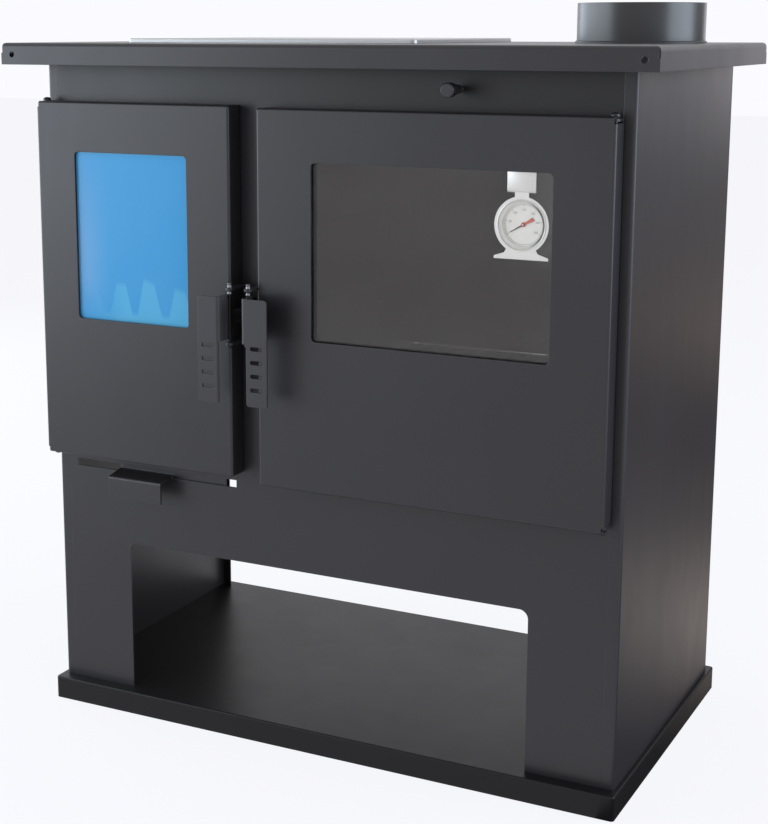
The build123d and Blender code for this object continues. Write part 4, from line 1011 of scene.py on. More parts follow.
@dataclass
class Casing:
    """Casing, plinth and flue collar: the nodes' paint, the rear screws and the collar's weld."""
    painted: tuple[str, ...] = (
        "side_panel_left", "side_panel_right", "back_panel", "top_plate",
        "air_slider", "damper_knob", "hinge_lugs", "hinge_pins")
    shaded: tuple[str, ...] = ("plinth", "latch_keeper")
    # levels of the painted shadow under the top's overhang, where the front is painted darker
    overhang_fade: Pair = (765.0 * MM, 788.0 * MM)  # levels between which the front darkens
    screw_head: float = 3.5 * MM
    screw_height: float = 2.2 * MM
    screw_shank: float = 1.75 * MM
    screw_round: float = 1.3 * MM
    screw_steps: tuple[float, ...] = (0.25, 1.5, 2.5, 3.75)  # quarters of the back panel
    screw_turn: float = 0.7  # from one screw to the next, in radians
    recess: float = 2.6 * MM
    recess_arm: Pair = (1.5, 0.32)  # its length and width, in recess sizes
    recess_taper: float = 0.7
    weld_ripples: int = 96
    weld_radius: float = 1.7 * MM
    weld_crest: float = 0.35 * MM  # ripples above the bead
    weld_inset: float = 1.0 * MM  # bead's middle inside the collar's wall
    weld_lift: float = 0.6 * MM  # bead's middle above the top
    weld_cut: float = 0.3 * MM  # what lies deeper in the top is cut off
    weld_root: float = 0.4 * MM  # wall from the cut down

    def build(self) -> None:
        """Make the rear screws and the collar's weld, and dress the casing."""
        CHARCOAL.cover(*self.painted)
        # the front panel's paint, painted darker under the top's overhang as a painted shadow
        replace(CHARCOAL, name="front_paint", fade=self.overhang_fade).cover("front_panel")
        # a darker copy of the paint, painted shade for the plinth beside the floor and the latch keeper in
        # the gap between the doors; its lower gloss is the paint's own
        StovePaint("dull_painted_shade_paint", colour=(0.0055, 0.005, 0.0055), cloud=(0.0085, 0.008, 0.0088),
                   gloss=1.31).cover(*self.shaded)
        StovePaint("collar_paint", colour=(0.006, 0.0065, 0.0085), cloud=(0.009, 0.0095, 0.0115),
                   roughness=0.29, gloss=1.62).cover("flue_collar")
        self.build_screws()
        self.build_foot_weld()

    def build_screws(self) -> None:
        """Set a rear screw at each place where the model has one, each turned a little further."""
        low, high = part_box("back_panel_screws")
        screw = self.model_screw(low.y, high.y)
        row = high.x - self.screw_head
        bottom, top = low.z + self.screw_head, high.z - self.screw_head
        first, last = self.screw_steps[0], self.screw_steps[-1]
        levels = [bottom + (top - bottom) * (step - first) / (last - first) for step in self.screw_steps]
        places = [Matrix.Translation((x, 0.0, level)) for x in (-row, row) for level in levels]
        twins = [Bench.copy(screw, place @ Matrix.Rotation(self.screw_turn * number, 4, "Y"))
                 for number, place in enumerate(places)]
        bpy.data.objects.remove(screw)
        report(Bench.join(twins, "back_screws"), "casing", PLATED, ["back_panel_screws"])

    def model_screw(self, tip: float, face: float) -> Piece:
        """Model one rear screw with a cross recess.

        Args:
            tip: Where its shank ends, from front to back.
            face: Where its head ends.

        Returns:
            The screw, on the middle line and at the floor.
        """
        seat = face - self.screw_height
        Bench.clear()
        bpy.ops.mesh.primitive_cylinder_add(
            vertices=32, radius=self.screw_head, depth=self.screw_height,
            location=(0.0, seat + self.screw_height / 2, 0.0), rotation=FACING_FRONT)
        screw = Bench.added("back_screw")
        Bench.edit(screw)
        Bench.pick(screw, Element.FACE, lambda _, normal: normal.y < -ALONG)
        bpy.ops.mesh.inset(thickness=self.screw_head - self.screw_shank, depth=0.0)
        Bench.extrude(y=tip - seat)
        Bench.pick(screw, Element.EDGE, lambda middle, _: middle.y > face - TOUCH)
        bpy.ops.mesh.bevel(offset=self.screw_round, segments=5, affect="EDGES")
        Bench.close(merge=True)
        cross = self.model_cross(face)
        Bench.modify(screw, "BOOLEAN", operation="DIFFERENCE", object=cross, use_self=True)
        bpy.data.objects.remove(cross)
        return Bench.settle(screw)

    def model_cross(self, face: float) -> Piece:
        """Model the cross that is cut out of a screw's head.

        Args:
            face: Where the head ends, from front to back.

        Returns:
            The cross, tapered towards its arms' ends.
        """
        middle = (0.0, face, 0.0)
        Bench.clear()
        bpy.ops.mesh.primitive_cube_add(size=self.recess, location=middle)
        cross = Bench.added("cross_cutter")
        Bench.edit(cross)
        Bench.pick_all()
        length, width = self.recess_arm
        Bench.stretch((length, 1.0, width), middle)
        Bench.pick(cross, Element.FACE, lambda _, normal: abs(normal.x) > ALONG)
        Bench.stretch((1.0, 1.0, self.recess_taper), middle)
        Bench.pick_all()
        bpy.ops.mesh.duplicate()
        bpy.ops.transform.rotate(value=math.pi / 2, orient_axis="Y", center_override=middle)
        Bench.close()
        return cross

    def build_foot_weld(self) -> None:
        """Model the rippled weld round the flue collar's foot."""
        low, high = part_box("flue_collar")
        centre = (low + high) / 2
        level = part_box("top_plate")[1].z
        Bench.clear()
        bpy.ops.mesh.primitive_torus_add(
            major_segments=2 * self.weld_ripples, minor_segments=10,
            major_radius=(high.x - low.x) / 2 - self.weld_inset, minor_radius=self.weld_radius,
            location=(centre.x, centre.y, level + self.weld_lift))
        bead = Bench.added("collar_weld")
        Bench.edit(bead, Element.VERTEX)

        def crest(middle: Vector, _: Vector) -> bool:
            """Whether a point lies on a ripple's crest."""
            turn = math.atan2(middle.y - centre.y, middle.x - centre.x)
            return round(turn / math.pi * self.weld_ripples) % 2 == 0

        Bench.pick(bead, Element.VERTEX, crest)
        bpy.ops.transform.shrink_fatten(value=self.weld_crest)
        Bench.pick(bead, Element.FACE, lambda middle, _: middle.z < level - self.weld_cut)
        bpy.ops.mesh.delete(type="FACE")
        Bench.pick_all()
        bpy.ops.mesh.region_to_loop()
        Bench.extrude(z=-self.weld_root)
        Bench.close(merge=True)
        report(Bench.settle(bead, ROUNDED), "casing", CHARCOAL)


@dataclass
class CookingTop:
    """Cast cooking plate with its ring and lid."""
    plate: str = "hob_plate"
    turned: tuple[str, ...] = ("hob_ring", "hob_lid")

    def build(self) -> None:
        """Dress the plate as ground iron, the ring and the lid as iron turned about their axis."""
        ground = CastIron("ground_iron", colour=(0.44, 0.44, 0.445), worn=(0.56, 0.56, 0.56), roughness=0.36,
                          metal=0.9, mottle=0.2, grain_depth=0.03 * MM)
        ground.cover(self.plate)
        low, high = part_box("hob_lid")
        axis = ((low.x + high.x) / 2, (low.y + high.y) / 2)
        replace(ground, name="turned_iron", axis=axis, grain_depth=0.06 * MM).cover(*self.turned)


@dataclass
class Firebox:
    """Firebox, grate, ash pan, air supply and damper."""
    plates: tuple[str, ...] = (
        "floor_plate", "slider_guides", "firebox_shell", "fire_guard", "ash_pan_runners",
        "smoke_covers", "flue_baffles", "damper_guides", "damper_plate")
    bricks: tuple[str, ...] = ("firebrick_left", "firebrick_right", "firebrick_back")
    rods: tuple[str, ...] = ("damper_rod", "damper_nuts")

    def build(self) -> None:
        """Dress the firebox's nodes."""
        RolledSteel("plate_steel", spangle=24.0, metal=0.7, roughness=0.5).cover(*self.plates)
        Firebrick("firebrick").cover(*self.bricks)
        CastIron("grate_iron", roughness=0.7, grain_depth=0.3 * MM).cover("grate")
        RolledSteel("zinc_sheet", colour=(0.42, 0.43, 0.45), shade=(0.25, 0.26, 0.28)).cover("ash_pan")
        BrightSteel("rod_steel", colour=(0.4, 0.4, 0.41), stain=(0.25, 0.25, 0.26),
                    brush=(1.0, 0.04, 1.0)).cover(*self.rods)


@dataclass
class Oven:
    """Enamelled oven with its wire rack."""
    enamelled: tuple[str, ...] = ("oven_box", "oven_runners")

    def build(self) -> None:
        """Dress the oven's nodes."""
        Enamel("oven_enamel").cover(*self.enamelled)
        BrightSteel("rack_wire", colour=(0.62, 0.62, 0.63), roughness=0.2, metal=1.0).cover("oven_rack")


@dataclass
class DialPrint:
    """Marks, their ring and the numbers on the thermometer's dial.

    Angles are in degrees from the right-hand side, anticlockwise as seen from the front.
    """
    middle: Rgb
    first_mark: float = 210.0
    last_mark: float = -30.0
    steps: int = 30
    steps_per_number: int = 5
    degrees_per_number: int = 50
    long_mark: Pair = (2.6 * MM, 0.45 * MM)  # length and width
    short_mark: Pair = (1.5 * MM, 0.28 * MM)
    mark_taper: float = 0.6  # inner end's share of the width
    mark_radius: float = 21.6 * MM
    ring_width: float = 0.3 * MM
    number_radius: float = 16.0 * MM
    number_height: float = 3.2 * MM
    height: float = 0.06 * MM

    def build(self) -> None:
        """Print the marks, their ring and the numbers."""
        ink = Print("dial_ink", colour=(0.12, 0.12, 0.125), uneven=(0.2, 0.2, 0.2))
        marks = [self.model_mark("long_mark", *self.long_mark),
                 self.model_mark("short_mark", *self.short_mark)]
        there = Matrix.Translation(self.middle)
        pieces = []
        for step in range(self.steps + 1):
            mark = marks[0 if step % self.steps_per_number == 0 else 1]
            pieces.append(Bench.copy(mark, there @ Matrix.Rotation(-self.angle(step), 4, "Y")))
        for mark in marks:
            bpy.data.objects.remove(mark)
        pieces.append(self.model_ring())
        for number in range(self.steps // self.steps_per_number + 1):
            pieces.append(self.model_number(self.degrees_per_number * number, self.steps_per_number * number))
        report(Bench.join(pieces, "dial_print"), "oven_door_leaf", ink)

    def angle(self, step: int) -> float:
        """Where a mark stands on the dial, in radians."""
        return math.radians(self.first_mark + (self.last_mark - self.first_mark) * step / self.steps)

    def model_mark(self, name: str, length: float, width: float) -> Piece:
        """Model one mark that points to the right of the dial's axis.

        Args:
            name: The mark's name.
            length: Its length.
            width: Its width at the ring.

        Returns:
            The mark, about the origin.
        """
        middle_radius = self.mark_radius - length / 2
        mark = Bench.upright_plate(name, (middle_radius, 0.0, 0.0), length, width)
        Bench.edit(mark, Element.VERTEX)
        Bench.pick(mark, Element.VERTEX, lambda middle, _: middle.x < middle_radius)
        Bench.stretch((1.0, 1.0, self.mark_taper), ORIGIN)
        Bench.pick_all()
        Bench.extrude(y=-self.height)
        Bench.close(merge=True)
        return mark

    def model_ring(self) -> Piece:
        """Model the thin printed ring at the marks' outer ends.

        Returns:
            The ring in its place.
        """
        Bench.clear()
        bpy.ops.mesh.primitive_circle_add(
            vertices=96, radius=self.mark_radius + self.ring_width, fill_type="NGON",
            location=self.middle, rotation=FACING_FRONT)
        ring = Bench.added("scale_ring")
        Bench.edit(ring)
        Bench.pick_all()
        bpy.ops.mesh.inset(thickness=self.ring_width, depth=0.0)
        bpy.ops.mesh.delete(type="FACE")
        Bench.pick_all()
        Bench.extrude(y=-self.height)
        Bench.close(merge=True)
        return Bench.settle(ring)

    def model_number(self, value: int, step: int) -> Piece:
        """Set one number upright beside its mark.

        Args:
            value: The number.
            step: The mark's place in the row of marks.

        Returns:
            The number as a mesh in its place.
        """
        Bench.clear()
        bpy.ops.object.text_add()
        text = bpy.context.active_object.data
        text.body = str(value)
        text.size = self.number_height
        text.align_x = "CENTER"
        text.align_y = "CENTER"
        text.extrude = self.height / 2
        bpy.ops.object.convert(target="MESH")
        number = Bench.added(f"number_{value}")
        angle = self.angle(step)
        across, face, up = self.middle
        number.rotation_euler = FACING_FRONT
        number.location = (across + self.number_radius * math.cos(angle), face - self.height / 2,
                           up + self.number_radius * math.sin(angle))
        return Bench.settle(number)


@dataclass
class Thermometer:
    """Round oven thermometer: stand, rolled bezel, bright cone, folded flap, printed dial and pointer."""
    dial_thickness: float = 4.0 * MM
    stand_face: float = 0.8 * MM  # stand's front before the lens
    bezel_radius: float = 27.3 * MM
    roll: float = 0.75 * MM
    roll_shape: Pair = (1.5, 0.6)  # rear half stretched across and in depth
    cone_radii: Pair = (27.0 * MM, 23.4 * MM)  # at the lens and at the tube
    cone_depth: float = 2.0 * MM
    cone_wall: float = 0.3 * MM
    # where the cone's right side is painted darker, a painted shadow
    cone_fade: Pair = (6.0 * MM, 19.0 * MM)  # right of the axis, where it darkens
    lens_gap: float = 0.1 * MM
    flap_width: float = 32.6 * MM
    flap_drop: float = 15.0 * MM  # upper edge below the stand's top
    flap_foot: float = 37.6 * MM  # lower edge above the dial's axis
    flap_reach: float = 1.2 * MM
    flap_rise: float = 0.6 * MM
    flap_return: Pair = (1.0 * MM, 2.2 * MM)  # lower fold, backwards and down
    flap_sheet: float = 0.7 * MM
    flap_round: float = 0.2 * MM
    hub_radius: float = 2.1 * MM
    hub_flatness: float = 0.6
    centre: Vector = field(default_factory=lambda: sum(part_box("thermometer_case"), Vector()) / 2)

    def __post_init__(self) -> None:
        """Find the dial's face, its middle and the stand's front."""
        self.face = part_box("thermometer_dial")[1].y - self.dial_thickness
        self.middle = (self.centre.x, self.face, self.centre.z)
        self.stand_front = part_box("thermometer_lens")[0].y - self.stand_face

    def build(self) -> None:
        """Dress the nodes and make the bezel, the cone, the flap, the print and the hub."""
        plain = (1.0, 1.0, 1.0)
        steel = BrightSteel("stainless", colour=(0.70, 0.695, 0.68), stain=(0.63, 0.62, 0.60), metal=1.0,
                            roughness=0.36, brush=plain)
        steel.cover("thermometer_stand", "thermometer_case")
        BrightSteel("dial_face", colour=(0.84, 0.835, 0.81), stain=(0.76, 0.755, 0.73), metal=0.9,
                    roughness=0.36, brush=plain).cover("thermometer_dial")
        ClearPane("thermometer_glass", haze=0.0, ior=1.3).cover("thermometer_lens")
        PointerPaint("pointer_red", centre=self.middle).cover("thermometer_needle")
        start, end = self.cone_fade
        self.build_bezel(steel)
        # the cone's finish, with a painted shadow on its right side
        self.build_cone(replace(steel, name="cone_steel", colour=(0.9, 0.895, 0.88), metal=0.6,
                                fade=(self.centre.x + start, self.centre.x + end)))
        self.build_flap(steel)
        DialPrint(self.middle).build()
        self.build_hub()

    def build_bezel(self, steel: Finish) -> None:
        """Spin a rolled edge round the stand's hole.

        Args:
            steel: The stand's finish.
        """
        front = self.stand_front
        start = (self.centre.x + self.bezel_radius, front, self.centre.z)
        across, deep = self.roll_shape
        Bench.clear()
        bpy.ops.mesh.primitive_circle_add(vertices=12, radius=self.roll, location=start)
        bezel = Bench.added("thermometer_bezel")
        Bench.edit(bezel, Element.VERTEX)
        Bench.pick(bezel, Element.VERTEX, lambda middle, _: middle.y > front + TOUCH)
        Bench.stretch((across, deep, 1.0), start)
        Bench.pick_all()
        bpy.ops.mesh.spin(steps=96, angle=2 * math.pi, center=(self.centre.x, front, self.centre.z),
                          axis=(0.0, 1.0, 0.0))
        Bench.close(merge=True)
        report(Bench.settle(bezel, ROUNDED), "oven_door_leaf", steel)

    def build_cone(self, steel: Finish) -> None:
        """Model the bright shallow cone behind the lens and the tube that runs on to the dial.

        Args:
            steel: The cone's finish.
        """
        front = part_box("thermometer_lens")[1].y + self.lens_gap
        depth = self.cone_depth
        mouth, throat = self.cone_radii
        Bench.clear()
        bpy.ops.mesh.primitive_cone_add(
            vertices=96, radius1=mouth, radius2=throat, depth=depth, end_fill_type="NOTHING",
            location=(self.centre.x, front + depth / 2, self.centre.z), rotation=(-math.pi / 2, 0.0, 0.0))
        cone = Bench.added("thermometer_cone")
        Bench.edit(cone, Element.EDGE)
        Bench.pick(cone, Element.EDGE, lambda middle, _: middle.y > front + depth - TOUCH)
        Bench.extrude(y=self.face - front - depth)
        Bench.close()
        Bench.modify(cone, "SOLIDIFY", thickness=self.cone_wall, offset=0.0)
        report(Bench.settle(cone), "oven_door_leaf", steel)

    def build_flap(self, steel: Finish) -> None:
        """Model the folded flap in front of the stand's hook.

        Args:
            steel: The stand's finish.
        """
        front = self.stand_front - self.flap_reach
        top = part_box("thermometer_stand")[1].z - self.flap_drop
        bottom = self.centre.z + self.flap_foot
        back, down = self.flap_return
        flap = Bench.upright_plate("stand_flap", (self.centre.x, front, (top + bottom) / 2), self.flap_width,
                                   top - bottom)
        Bench.edit(flap, Element.EDGE)
        Bench.pick(flap, Element.EDGE, lambda middle, _: middle.z > top - TOUCH)
        Bench.extrude(y=self.flap_reach, z=self.flap_rise)
        Bench.pick(flap, Element.EDGE, lambda middle, _: middle.z < bottom + TOUCH)
        Bench.extrude(y=back, z=-down)
        Bench.close()
        Bench.modify(flap, "SOLIDIFY", thickness=self.flap_sheet, offset=0.0)
        Bench.modify(flap, "BEVEL", width=self.flap_round, segments=2, limit_method="ANGLE")
        report(Bench.settle(flap), "oven_door_leaf", steel)

    def build_hub(self) -> None:
        """Model the domed cap on the pointer's axis."""
        place = (self.centre.x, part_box("thermometer_needle")[0].y, self.centre.z)
        Bench.clear()
        bpy.ops.mesh.primitive_uv_sphere_add(
            segments=32, ring_count=16, radius=self.hub_radius, location=place)
        hub = Bench.added("pointer_cap")
        Bench.edit(hub, Element.VERTEX)
        Bench.pick_all()
        Bench.stretch((1.0, self.hub_flatness, 1.0), place)
        bpy.ops.mesh.bisect(plane_co=place, plane_no=(0.0, 1.0, 0.0), clear_outer=True, use_fill=True)
        Bench.close(merge=True)
        red = Print("cap_red", colour=(0.50, 0.05, 0.035), uneven=(0.42, 0.05, 0.04), roughness=0.35)
        report(Bench.settle(hub, ROUNDED), "pointer", red)


class Door(Enum):
    """The stove's two doors, and the start of their nodes' names."""
    FIRE = "fire"
    OVEN = "oven"


@dataclass
class RopeSeal:
    """Twisted rope in the channel behind a door."""
    door: Door
    strands: int = 3
    sides: int = 24
    rings: int = 12
    pitch: float = 13.0 * MM
    groove: float = 0.12  # depth, in the rope's radius
    groove_steps: int = 3  # points from a groove's bottom to its full radius
    slack: float = 0.6 * MM
    smooth: float = 70.0

    def build(self) -> None:
        """Twist one length of rope, repeat it and bend it round the door."""
        node = f"{self.door.value}_rope_seal"
        low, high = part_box(node)
        radius = (high.y - low.y) / 2
        path = self.draw_path(low, high, radius)
        total = path.data.splines[0].calc_length()
        count = round(total / self.pitch)
        pitch = total / count
        length = self.twist_length(pitch, radius)
        Bench.modify(length, "ARRAY", count=count, use_relative_offset=False, use_constant_offset=True,
                     constant_offset_displace=(pitch, 0.0, 0.0), use_merge_vertices=True,
                     merge_threshold=2 * TOUCH)
        Bench.modify(length, "CURVE", object=path, deform_axis="POS_X")
        bpy.data.objects.remove(path)
        Bench.edit(length)
        Bench.close(merge=True)
        Bench.settle(length, self.smooth)
        report(length, f"{self.door.value}_door_leaf", Woven("rope"), [node])

    def draw_path(self, low: Vector, high: Vector, radius: float) -> Piece:
        """Draw the rounded rectangle that the rope follows.

        Args:
            low: Lowest corner of the rope's node.
            high: Highest corner.
            radius: Half of the rope's thickness.

        Returns:
            The path as a curve.
        """
        path = Bench.upright_plate("rope_path", (low + high) / 2, high.x - low.x - 2 * radius,
                                   high.z - low.z - 2 * radius)
        Bench.edit(path, Element.VERTEX)
        Bench.pick_all()
        bpy.ops.mesh.bevel(offset=radius + self.slack, segments=8, affect="VERTICES")
        Bench.pick_all()
        bpy.ops.mesh.delete(type="ONLY_FACE")
        Bench.close()
        bpy.ops.object.convert(target="CURVE")
        path.data.twist_mode = "MINIMUM"
        return path

    def twist_length(self, pitch: float, radius: float) -> Piece:
        """Twist one repeat of the rope along X.

        Args:
            pitch: Length of one repeat.
            radius: Half of the rope's thickness.

        Returns:
            The repeat, open at both ends.
        """
        Bench.clear()
        bpy.ops.mesh.primitive_circle_add(
            vertices=self.sides, radius=radius, rotation=(0.0, math.pi / 2, 0.0))
        length = Bench.added(f"{self.door.value}_rope")
        Bench.settle(length)
        Bench.edit(length, Element.VERTEX)
        for step in range(self.groove_steps):
            depth = 1.0 - self.groove * (self.groove_steps - step) / self.groove_steps
            Bench.pick(length, Element.VERTEX, lambda middle, _: self.beside_groove(middle) == step)
            Bench.stretch((1.0, depth, depth), ORIGIN)
        Bench.pick_all()
        for _ in range(self.rings):
            Bench.extrude(x=pitch / self.rings)
            bpy.ops.transform.rotate(value=2 * math.pi / self.strands / self.rings, orient_axis="X",
                                     center_override=ORIGIN)
        Bench.close()
        return length

    def beside_groove(self, middle: Vector) -> int:
        """How many points of the rope's outline a point lies from a groove's bottom.

        Args:
            middle: The point.

        Returns:
            0 at the bottom, then 1, 2 and so on.
        """
        strand = self.sides // self.strands
        place = round(math.atan2(middle.z, middle.y) / (2 * math.pi) * self.sides) % strand
        return min(place, strand - place)


@dataclass
class DoorLeaf:
    """One door: painted pan and grip, pane, rope and fixings, and its latch rod's weld and collars."""
    door: Door
    rod_side: int
    # whether the grip's flange gets a painted highlight, and where inside the flange's outer face it lies
    rubbed_flange: bool = False
    flange_fade: Pair = (1.0 * MM, 0.2 * MM)  # inside the flange's outer face
    rod_radius: float = 2.5 * MM
    weld_offset: float = 2.1 * MM  # beside the rod's axis
    weld_inset: float = 3.9 * MM
    weld_drop: float = 48.0 * MM  # lower end below the grip's top
    weld_length: float = 44.0 * MM
    weld_radius: float = 1.0 * MM
    weld_ripples: int = 44
    weld_waist: float = 0.72  # share of the radius between ripples
    ear: Pair = (567.8 * MM, 570.8 * MM)  # levels of the upper ear's faces
    collar_gap: float = 0.1 * MM
    collar_over: float = 0.4 * MM  # above the rod's end
    collar_length: float = 4.3 * MM
    collar_radius: float = 3.0 * MM
    collar_dome: float = 1.2 * MM
    collar_groove: Pair = (0.2, 0.84)  # reach, in its length, and share of the radius
    collar_smooth: float = 50.0

    def __post_init__(self) -> None:
        """Find the latch rod's axis, which lies at the side of its tongue."""
        low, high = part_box(self.node("latch"))
        self.rod_x = low.x + self.rod_radius if self.rod_side < 0 else high.x - self.rod_radius
        self.rod_y = low.y + self.rod_radius
        self.rod_top = high.z
        self.catch = self.node("catch")

    def node(self, part: str) -> str:
        """The full name of one of the door's parts."""
        return f"{self.door.value}_{part}"

    def build(self) -> None:
        """Dress the door's nodes and make its rope, and the weld and the collars of its latch rod."""
        CHARCOAL.cover(self.node("door"))
        # the latch rod and tongue are painted near black: painted shade for the dark gap between the doors
        StovePaint("latch_painted_shade_paint", colour=(0.004, 0.004, 0.0045), cloud=(0.006, 0.006, 0.0065), gloss=1.3,
                   rubbed=(0.012, 0.012, 0.012), roughness=0.5).cover(self.node("latch"))
        self.grip_paint().cover(self.node("handle"))
        ClearPane("pane", haze=0.006).cover(self.node("glass"))
        Woven("woven_tape", colour=(0.012, 0.012, 0.013), yarn=(0.035, 0.035, 0.036)).cover(
            self.node("glass_tape"))
        RolledSteel("inner_zinc", colour=(0.34, 0.35, 0.37), shade=(0.2, 0.2, 0.22), spangle=90.0).cover(
            self.node("glass_frame"), self.node("seal_channel"), self.node("door_shield"))
        PLATED.cover(self.node("glass_fixings"))
        RopeSeal(self.door).build()
        self.build_weld()
        self.build_collars()

    def grip_paint(self) -> StovePaint:
        """The grip's paint: a lighter copy of the charcoal paint, painted light for a grip in shade, with a
        painted highlight on its flange where asked.

        Returns:
            The paint.
        """
        # a lighter copy of the charcoal paint: painted light for the grip, which lies in shade
        paint = replace(CHARCOAL, name="grip_paint", colour=(0.022, 0.020, 0.0235),
                        cloud=(0.029, 0.027, 0.031))
        # painted highlight: the flange's outer strip is painted pale
        if self.rubbed_flange:
            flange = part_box(self.node("handle"))[1].x
            start, end = (flange - depth for depth in self.flange_fade)
            paint = replace(paint, name="painted_highlight_grip_paint", fade=(start, end), fade_along=Axis.X,
                            faded=(0.085, 0.083, 0.090))
        return paint

    def build_weld(self) -> None:
        """Model the rippled weld between the grip plate and the latch rod."""
        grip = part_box(self.node("handle"))[1]
        x = self.rod_x + self.rod_side * self.weld_offset
        front = grip.y - self.weld_inset
        bottom = grip.z - self.weld_drop
        length = self.weld_length
        Bench.clear()
        bpy.ops.mesh.primitive_cylinder_add(
            vertices=10, radius=self.weld_radius, depth=length, location=(x, front, bottom + length / 2))
        bead = Bench.added(self.node("grip_weld"))
        Bench.edit(bead, Element.EDGE)
        Bench.pick(bead, Element.EDGE, lambda _, way: abs(way.z) > ALONG)
        bpy.ops.mesh.subdivide(number_cuts=self.weld_ripples - 1)
        Bench.pick(bead, Element.VERTEX,
                   lambda middle, _: round((middle.z - bottom) / length * self.weld_ripples) % 2 == 1)
        Bench.stretch((self.weld_waist, self.weld_waist, 1.0), (x, front, bottom))
        Bench.close(merge=True)
        Bench.modify(bead, "SUBSURF", levels=1, render_levels=1)
        report(Bench.settle(bead, ROUNDED), self.catch, CHARCOAL)

    def build_collars(self) -> None:
        """Turn the two collars that hold the latch rod above and below its upper ear."""
        under, over = self.ear[0] - self.collar_gap, self.ear[1] + self.collar_gap
        spans = ((over, self.rod_top + self.collar_over), (under - self.collar_length, under))
        collars = [self.turn_collar(bottom, top) for bottom, top in spans]
        steel = BrightSteel("collar_steel", colour=(0.19, 0.19, 0.195), stain=(0.1, 0.1, 0.1), roughness=0.38,
                            metal=0.9)
        report(Bench.join(collars, self.node("latch_collars")), self.catch, steel)

    def turn_collar(self, bottom: float, top: float) -> Piece:
        """Turn one collar on the latch rod, domed at the top with a groove round its middle.

        Args:
            bottom: The collar's lower end.
            top: Its upper end.

        Returns:
            The collar.
        """
        middle = (self.rod_x, self.rod_y, (bottom + top) / 2)
        reach, waist = self.collar_groove
        Bench.clear()
        bpy.ops.mesh.primitive_cylinder_add(
            vertices=32, radius=self.collar_radius, depth=top - bottom, location=middle)
        collar = Bench.added("latch_collar")
        Bench.edit(collar, Element.EDGE)
        Bench.pick(collar, Element.EDGE, lambda _, way: abs(way.z) > ALONG)
        bpy.ops.mesh.subdivide(number_cuts=4)
        Bench.pick(collar, Element.VERTEX, lambda point, _: abs(point.z - middle[2]) < reach * (top - bottom))
        Bench.stretch((waist, waist, 1.0), middle)
        Bench.pick(collar, Element.EDGE, lambda point, _: abs(point.z - top) < TOUCH)
        bpy.ops.mesh.bevel(offset=self.collar_dome, segments=4, affect="EDGES")
        Bench.close(merge=True)
        return Bench.settle(collar, self.collar_smooth)


@dataclass
class FireWindow:
    """Protective film on the fire door's pane."""
    overlap: float = 10.0 * MM
    beyond: float = 0.3 * MM  # under the door's edge
    thickness: float = 0.06 * MM
    corner: float = 5.0 * MM

    def build(self) -> None:
        """Lay the film on the pane's outer face."""
        low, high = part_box("fire_glass")
        inset = self.overlap - self.beyond
        start = Vector((low.x + inset, low.y, low.z + inset))
        end = Vector((high.x - inset, low.y, high.z - inset))
        film = Bench.upright_plate("pane_film", (start + end) / 2, end.x - start.x, end.z - start.z)
        Bench.edit(film, Element.VERTEX)
        Bench.pick_all()
        bpy.ops.mesh.bevel(offset=self.corner, segments=6, affect="VERTICES")
        bpy.ops.mesh.select_mode(type=Element.FACE.value)
        Bench.pick_all()
        Bench.extrude(y=-self.thickness)
        Bench.close(merge=True)
        finish = PaneFilm("film", low=tuple(start), high=tuple(end))
        report(Bench.settle(film), "fire_door_leaf", finish)


# ---------------------------------------------------------------- studio
@dataclass(frozen=True)
class Lamp:
    """One soft rectangular lamp: where it hangs, where it looks, its size, power and colour."""
    name: str
    place: Rgb
    target: Rgb
    size: Pair
    power: float
    colour: Rgb

    def hang(self) -> None:
        """Add the lamp."""
        light = bpy.data.lights.new(self.name, "AREA")
        light.shape = "RECTANGLE"
        light.size, light.size_y = self.size
        light.energy = self.power
        light.color = self.colour
        holder = bpy.data.objects.new(self.name, light)
        holder.location = self.place
        holder.rotation_euler = (Vector(self.target) - Vector(self.place)).to_track_quat("-Z", "Y").to_euler()
        bpy.context.scene.collection.objects.link(holder)


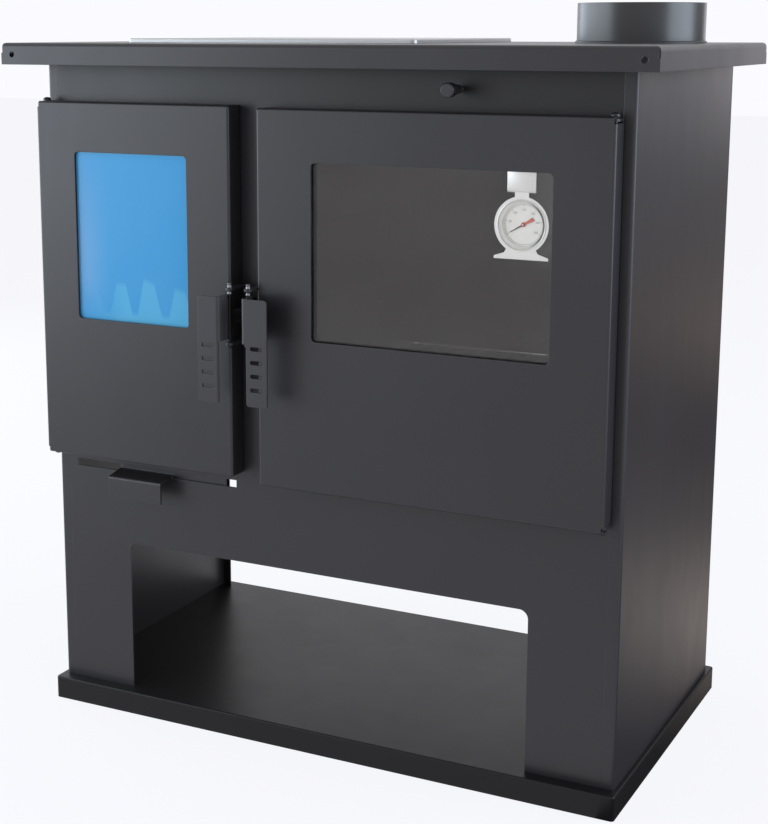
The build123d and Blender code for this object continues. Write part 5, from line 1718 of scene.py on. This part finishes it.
@dataclass
class Studio:
    """Pale floor, white background, soft lamps, two glowing cards whose painted light shows in the sheen, and
    the camera.
    """
    lamps: tuple[Lamp, ...] = (
        Lamp("left_panel", (-2.65, -1.4, 0.95), (0.0, -0.1, 0.45), (3.22, 1.8), 79.6, (0.80, 0.90, 1.0)),
        Lamp("rear_panel", (-2.7, 1.0, 1.2), (0.1, 0.1, 0.7), (1.8, 1.5), 30.0, (0.74, 0.87, 1.0)),
        Lamp("right_panel", (2.9, 0.2, 1.25), (0.3, 0.05, 0.5), (2.7, 1.9), 72.0, (0.74, 0.86, 1.0)),
    )
    floor_size: float = 30.0
    floor_level: float = -0.2 * MM
    wall_middle: Rgb = (1.1, 1.35, 0.475)
    wall_size: Pair = (1.4, 0.95)
    # the wall card's glow is painted light for the side panel's sheen: dark at its foot, warm in the middle,
    # bright at the top, painted darker away from the stove
    wall_shades: Shades = Shades("card_wall", along=Axis.Z, dim=(0.69, 0.83), stops=(
        (0.0, (0.08, 0.06, 0.05)), (0.14, (0.13, 0.10, 0.08)), (0.28, (0.58, 0.43, 0.35)),
        (0.43, (0.36, 0.30, 0.275)), (0.58, (0.32, 0.295, 0.295)), (0.72, (0.90, 0.86, 0.88)),
        (0.80, (1.5, 1.44, 1.5))))
    mat_middle: Rgb = (1.16, 0.55, 0.4 * MM)
    mat_size: float = 1.6
    # the mat's glow is painted light for the side panel's sheen: a painted shadow of the stove along its
    # side, brighter further back, painted darker away from the stove
    mat_shades: Shades = Shades("card_mat", along=Axis.Y, dim=(0.50, 0.66), stops=(
        (0.0, (0.01, 0.007, 0.005)), (0.16, (0.15, 0.12, 0.105)), (0.45, (0.80, 0.68, 0.61)),
        (0.65, (0.78, 0.66, 0.59)), (0.95, (0.32, 0.26, 0.23))))
    even_light: Rgb = (0.97, 0.98, 1.0)
    even_strength: float = 0.5
    camera_place: Rgb = (0.8755, -1.8283, 0.8661)
    camera_turn: Rgb = (78.89, 0.0, 27.37)
    lens: float = 71.2
    shift: Pair = (0.062, -0.0762)

    def build(self) -> None:
        """Set up floor, cards, light and camera."""
        floor = self.lay_plane("studio_floor", self.floor_size, (0.0, 0.0, self.floor_level))
        StudioFloor("studio_floor").dress(floor)
        self.set_cards()
        for lamp in self.lamps:
            lamp.hang()
        self.light_room()
        self.set_camera()
        bpy.context.scene.view_settings.view_transform = "Standard"

    def lay_plane(self, name: str, size: float, middle: Rgb) -> Piece:
        """Lay a square on the ground.

        Args:
            name: Its name.
            size: Its side.
            middle: Its middle.

        Returns:
            The square.
        """
        Bench.clear()
        bpy.ops.mesh.primitive_plane_add(size=size, location=middle)
        return Bench.settle(Bench.added(name))

    def set_cards(self) -> None:
        """Set a glowing wall card and mat beside the stove, seen only in its sheen: their glow is painted
        light.
        """
        wall = Bench.upright_plate("card_wall", self.wall_middle, *self.wall_size)
        mat = self.lay_plane("card_mat", self.mat_size, self.mat_middle)
        for card, shades in ((wall, self.wall_shades), (mat, self.mat_shades)):
            shades.dress(card)
            card.visible_camera = False
            card.visible_diffuse = False
            card.visible_shadow = False

    def light_room(self) -> None:
        """Give the room a white background and a soft even light."""
        world = bpy.data.worlds.new("studio")
        world.use_nodes = True
        bpy.context.scene.world = world
        board = Board(world.node_tree)
        seen = board.node("ShaderNodeBackground", inputs={0: (*BACKGROUND, 1.0), 1: 1.0})
        even = board.node("ShaderNodeBackground", inputs={0: (*self.even_light, 1.0), 1: self.even_strength})
        mixed = board.node("ShaderNodeMixShader", inputs={
            0: board.background_rays(), 1: even.outputs[0], 2: seen.outputs[0]})
        board.node("ShaderNodeOutputWorld", inputs={"Surface": mixed.outputs[0]})

    def set_camera(self) -> None:
        """Place the camera at the photograph's angle."""
        lens = bpy.data.cameras.new("camera")
        lens.lens = self.lens
        lens.shift_x, lens.shift_y = self.shift
        camera = bpy.data.objects.new("camera", lens)
        camera.location = self.camera_place
        camera.rotation_euler = [math.radians(angle) for angle in self.camera_turn]
        bpy.context.scene.collection.objects.link(camera)
        bpy.context.scene.camera = camera


def main() -> None:
    """Build the stove's looks and the studio, noting each assembly as it is done."""
    logging.basicConfig(level=logging.INFO, format="%(message)s")
    assemblies = [
        Casing(), CookingTop(), Firebox(), Oven(), Thermometer(),
        DoorLeaf(Door.FIRE, rod_side=-1, rubbed_flange=True), DoorLeaf(Door.OVEN, rod_side=1),
        FireWindow(), Studio()]
    for assembly in assemblies:
        assembly.build()
        log.info("%s is done", type(assembly).__name__)


if __name__ == "__main__":
    main()
